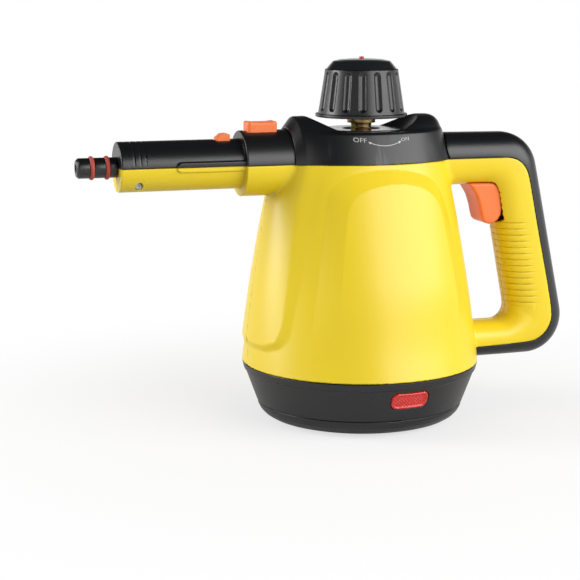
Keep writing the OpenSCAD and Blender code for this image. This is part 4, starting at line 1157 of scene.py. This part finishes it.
class STEAMER_OT_screws(bpy.types.Operator):
    """Carves the cross-head screws in the barrel and under the base."""
    bl_idname = "steamer.screws"
    bl_label = "Screws"

    def execute(self, context):
        root_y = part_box("shell_screws")[0][1] / MM
        for i, (size, (x0, z0), y0) in enumerate((
                ((1.95, 1.5, 1.05, 12), SCREW_FRONT, -7.2),
                ((1.4, 1.0, 0.75, 8), SCREW_ROOT, root_y))):
            def laid(x, y, z):
                return cross_screw(*size, x - x0, -(z - z0), y - y0)

            screw = carve(f"screw_shell_{i + 1}", laid, (x0 - 2.2, y0 - 1.7, z0 - 2.2),
                          (x0 + 2.2, y0 + size[3] + 0.2, z0 + 2.2), 0.16, 0.3)
            dress(screw, "steel", "shell_screws")
        for i in range(4):
            cx, cy = (PAN_SCREWS * turn(i * math.pi / 2) for turn in (math.cos, math.sin))

            def upright(x, y, z):
                return cross_screw(2.9, 2.0, 1.5, 13, x - cx, y - cy, z - 6)

            screw = carve(f"screw_pan_{i + 1}", upright, (cx - 3.1, cy - 3.1, 3.8),
                          (cx + 3.1, cy + 3.1, 19.2), 0.28, 0.3)
            dress(screw, "steel", "pan_screws")
        return {"FINISHED"}


def on_cover(x, z, out):
    """Y of the cover's left side at x and z, in mm, moved out of it by out."""
    lo, hi = -40.0, -5.0
    for _ in range(40):
        y = (lo + hi) / 2
        if dome_form(np.float64(x), np.float64(y), np.float64(z)) > 0:
            lo = y
        else:
            hi = y
    return y - out


def printed(name, plan, faces):
    """Thin film of ink on the side of the top cover, from a flat outline in X and Z."""
    n = len(plan)
    verts = [(x, on_cover(x, z, out), z) for out in (0.06, -0.05) for x, z in plan]
    edges = {(f[i - 1], f[i]): None for f in faces for i in range(len(f))}
    solid = [tuple(f) for f in faces] + [tuple(i + n for i in reversed(f)) for f in faces]
    solid += [(b, a, a + n, b + n) for a, b in edges if (b, a) not in edges]
    dress(plain_mesh(name, verts, solid, soft=False), "ink")


def print_word(word, x0, x1, z, tilt):
    """Prints a word that runs from x0 to x1, with its middle at height z."""
    curve = bpy.data.curves.new("word", "FONT")
    curve.body = word
    curve.size = 1.0
    curve.resolution_u = 4
    curve.offset = -0.012
    temporary = add_object("word", curve)
    bpy.context.view_layer.update()
    mesh = bpy.data.meshes.new_from_object(temporary)
    co = np.array([v.co[:2] for v in mesh.vertices])
    faces = [tuple(p.vertices) for p in mesh.polygons]
    bpy.data.objects.remove(temporary)
    left = co[:, 0].min()
    scale = (x1 - x0) / (co[:, 0].max() - left)
    plan = []
    for u, v in co:
        du, dv = (u - left) * scale, (v - co[:, 1].max() / 2) * scale * 0.8
        plan.append((x0 + du, z + dv + tilt * (du - (x1 - x0) / 2)))
    printed("print_" + word.lower(), plan, faces)


class STEAMER_OT_print(bpy.types.Operator):
    """Prints OFF, ON and the arrow between them on the top cover."""
    bl_idname = "steamer.print"
    bl_label = "Print"

    def execute(self, context):
        print_word("OFF", -15.4, -7.7, 172.5, -0.10)
        print_word("ON", 14.4, 19.6, 172.4, 0.08)
        x0, x1, z0, dip, half, steps = -5.8, 13.2, 170.9, 1.9, 0.17, 16
        plan = []
        for t in (i / steps for i in range(steps + 1)):
            x, z = x0 + (x1 - x0) * t, z0 - dip * 4 * t * (1 - t)
            plan += [(x, z - half), (x, z + half)]
        printed("print_arc", plan, [(i, i + 2, i + 3, i + 1) for i in range(0, 2 * steps, 2)])
        for i, (x, way) in enumerate(((x0, (-0.91, 0.42)), (x1, (0.91, 0.42)))):
            tip, back = ((x + way[0] * far, z0 + way[1] * far) for far in (1.1, -0.7))
            side = (-way[1] * 0.75, way[0] * 0.75)
            head = [tip, (back[0] + side[0], back[1] + side[1]),
                    (back[0] - side[0], back[1] - side[1])]
            printed(f"print_head_{i + 1}", head, [(0, 1, 2)])
        return {"FINISHED"}


def floor_material(colour):
    """Matt white board that runs out into plain white well outside the shadow."""
    material, add = new_material("matt_painted_board")
    path = add("ShaderNodeLightPath").outputs
    # the board throws less light back at the steamer than it shows to the camera and in reflections
    seen = path["Is Camera Ray"]
    for kind in ("Is Glossy Ray", "Is Transmission Ray"):
        seen = add("ShaderNodeMath", {0: seen, 1: path[kind]}, operation="MAXIMUM").outputs[0]
    tone = add("ShaderNodeMix", {"Factor": seen, 6: linear("#A8A8A8"), 7: linear(colour)},
               data_type="RGBA")
    matt = add("ShaderNodeBsdfDiffuse", {"Color": tone.outputs[2]})
    white = add("ShaderNodeEmission", {"Color": (1, 1, 1, 1), "Strength": 1.0})
    where = add("ShaderNodeTexCoord")
    far = add("ShaderNodeVectorMath", {0: where.outputs["Object"]}, operation="LENGTH")
    # the camera sees two thirds of the white even near the steamer; reflections show none there
    near = add("ShaderNodeMath", {0: path["Is Camera Ray"], 1: 0.68}, operation="MULTIPLY")
    away = add("ShaderNodeMapRange", {
        "Value": far.outputs["Value"], "From Min": 0.1, "From Max": 0.36,
        "To Min": near.outputs[0]}, interpolation_type="SMOOTHSTEP")
    amount = add("ShaderNodeMath", {0: away.outputs["Result"], 1: seen}, operation="MULTIPLY")
    pick = add("ShaderNodeMixShader", {
        0: amount.outputs[0], 1: matt.outputs[0], 2: white.outputs[0]})
    add("ShaderNodeOutputMaterial", {"Surface": pick.outputs[0]})
    return material


def studio_light(add):
    """World light: white to the camera, dim on matt surfaces, a lit wall in reflections."""
    path = add("ShaderNodeLightPath").outputs
    seen = add("ShaderNodeMath", {0: path["Is Camera Ray"], 1: path["Is Transmission Ray"]},
               operation="MAXIMUM")
    # reflections show the white wall round the steamer, and a dark ceiling above it
    where = add("ShaderNodeTexCoord")
    height = add("ShaderNodeSeparateXYZ", {"Vector": where.outputs["Generated"]})
    wall = add("ShaderNodeMapRange", {
        "Value": height.outputs["Z"], "From Min": 0.04, "From Max": 0.42, "To Min": 1.0,
        "To Max": 0.03}, interpolation_type="SMOOTHSTEP")
    soft = add("ShaderNodeMapRange", {
        "Value": path["Is Glossy Ray"], "To Min": 0.38, "To Max": wall.outputs["Result"]})
    level = add("ShaderNodeMapRange", {
        "Value": seen.outputs[0], "To Min": soft.outputs["Result"], "To Max": 1.0})
    sky = add("ShaderNodeBackground", {
        "Color": (1, 1, 1, 1), "Strength": level.outputs["Result"]})
    add("ShaderNodeOutputWorld", {"Surface": sky.outputs[0]})


def aimed(name, data, place, aim):
    """Lamp or camera that looks from a place at another."""
    thing = add_object(name, data)
    thing.location = place
    way = Vector(aim) - Vector(place)
    thing.rotation_euler = way.to_track_quat("-Z", "Y").to_euler()
    return thing


class STEAMER_OT_stage(bpy.types.Operator):
    """Sets the floor, the soft lights and the camera."""
    bl_idname = "steamer.stage"
    bl_label = "Stage"

    def execute(self, context):
        scene, stage = context.scene, context.scene.steamer_stage
        scene.view_settings.view_transform = "Standard"
        edge = 6000
        corners = [(-edge, -edge, 0), (edge, -edge, 0), (edge, edge, 0), (-edge, edge, 0)]
        floor = plain_mesh("floor", corners, [(0, 1, 2, 3)], soft=False)
        floor.data.materials.append(floor_material(stage.floor))
        scene.world = scene.world or bpy.data.worlds.new("studio")
        studio_light(blank(scene.world))
        for name, place, aim, power, size in (
                ("light_right", (1.04, -1.25, 0.78), (0.02, 0, 0.1), 34, (2.2, 1.0)),
                ("light_left", (-1.62, 0.5, 0.6), (-0.02, 0, 0.12), 22, (0.8, 1.0))):
            lamp = bpy.data.lights.new(name, "AREA")
            lamp.shape = "RECTANGLE"
            lamp.size, lamp.size_y = size
            lamp.energy = power
            aimed(name, lamp, place, aim)
        camera = bpy.data.cameras.new("camera")
        camera.lens = stage.lens
        camera.sensor_width = 36
        scene.camera = aimed("camera", camera, (-0.3347, -0.90705, 0.2555), (-0.04496, 0, 0.0803))
        return {"FINISHED"}


SETTINGS = {"steamer_casing": CasingSettings, "steamer_cap": CapSettings,
            "steamer_colours": ColourSettings, "steamer_stage": StageSettings}
STEPS = (STEAMER_OT_stage, STEAMER_OT_finishes, STEAMER_OT_shells, STEAMER_OT_covers,
         STEAMER_OT_base, STEAMER_OT_nozzle, STEAMER_OT_controls, STEAMER_OT_springs,
         STEAMER_OT_cap, STEAMER_OT_screws, STEAMER_OT_print)


class STEAMER_PT_panel(bpy.types.Panel):
    """Lists the steps of the build and their settings."""
    bl_idname = "STEAMER_PT_panel"
    bl_label = "Steamer"
    bl_space_type = "VIEW_3D"
    bl_region_type = "UI"
    bl_category = "Steamer"

    def draw(self, context):
        for group, kind in SETTINGS.items():
            for key in kind.__annotations__:
                self.layout.prop(getattr(context.scene, group), key)
        for step in STEPS:
            self.layout.operator(step.bl_idname)


def register():
    for kind in (*SETTINGS.values(), *STEPS, STEAMER_PT_panel):
        bpy.utils.register_class(kind)
    for name, kind in SETTINGS.items():
        setattr(bpy.types.Scene, name, bpy.props.PointerProperty(type=kind))


def unregister():
    for name in SETTINGS:
        delattr(bpy.types.Scene, name)
    for kind in (STEAMER_PT_panel, *reversed(STEPS), *reversed(list(SETTINGS.values()))):
        bpy.utils.unregister_class(kind)


def main():
    register()
    bpy.ops.steamer.stage()
    bpy.ops.steamer.finishes()
    bpy.ops.steamer.shells()
    bpy.ops.steamer.covers()
    bpy.ops.steamer.base()
    bpy.ops.steamer.nozzle()
    bpy.ops.steamer.controls()
    bpy.ops.steamer.springs()
    bpy.ops.steamer.cap()
    bpy.ops.steamer.screws()
    bpy.ops.steamer.print()
    bpy.context.view_layer.update()


if __name__ == "__main__":
    main()
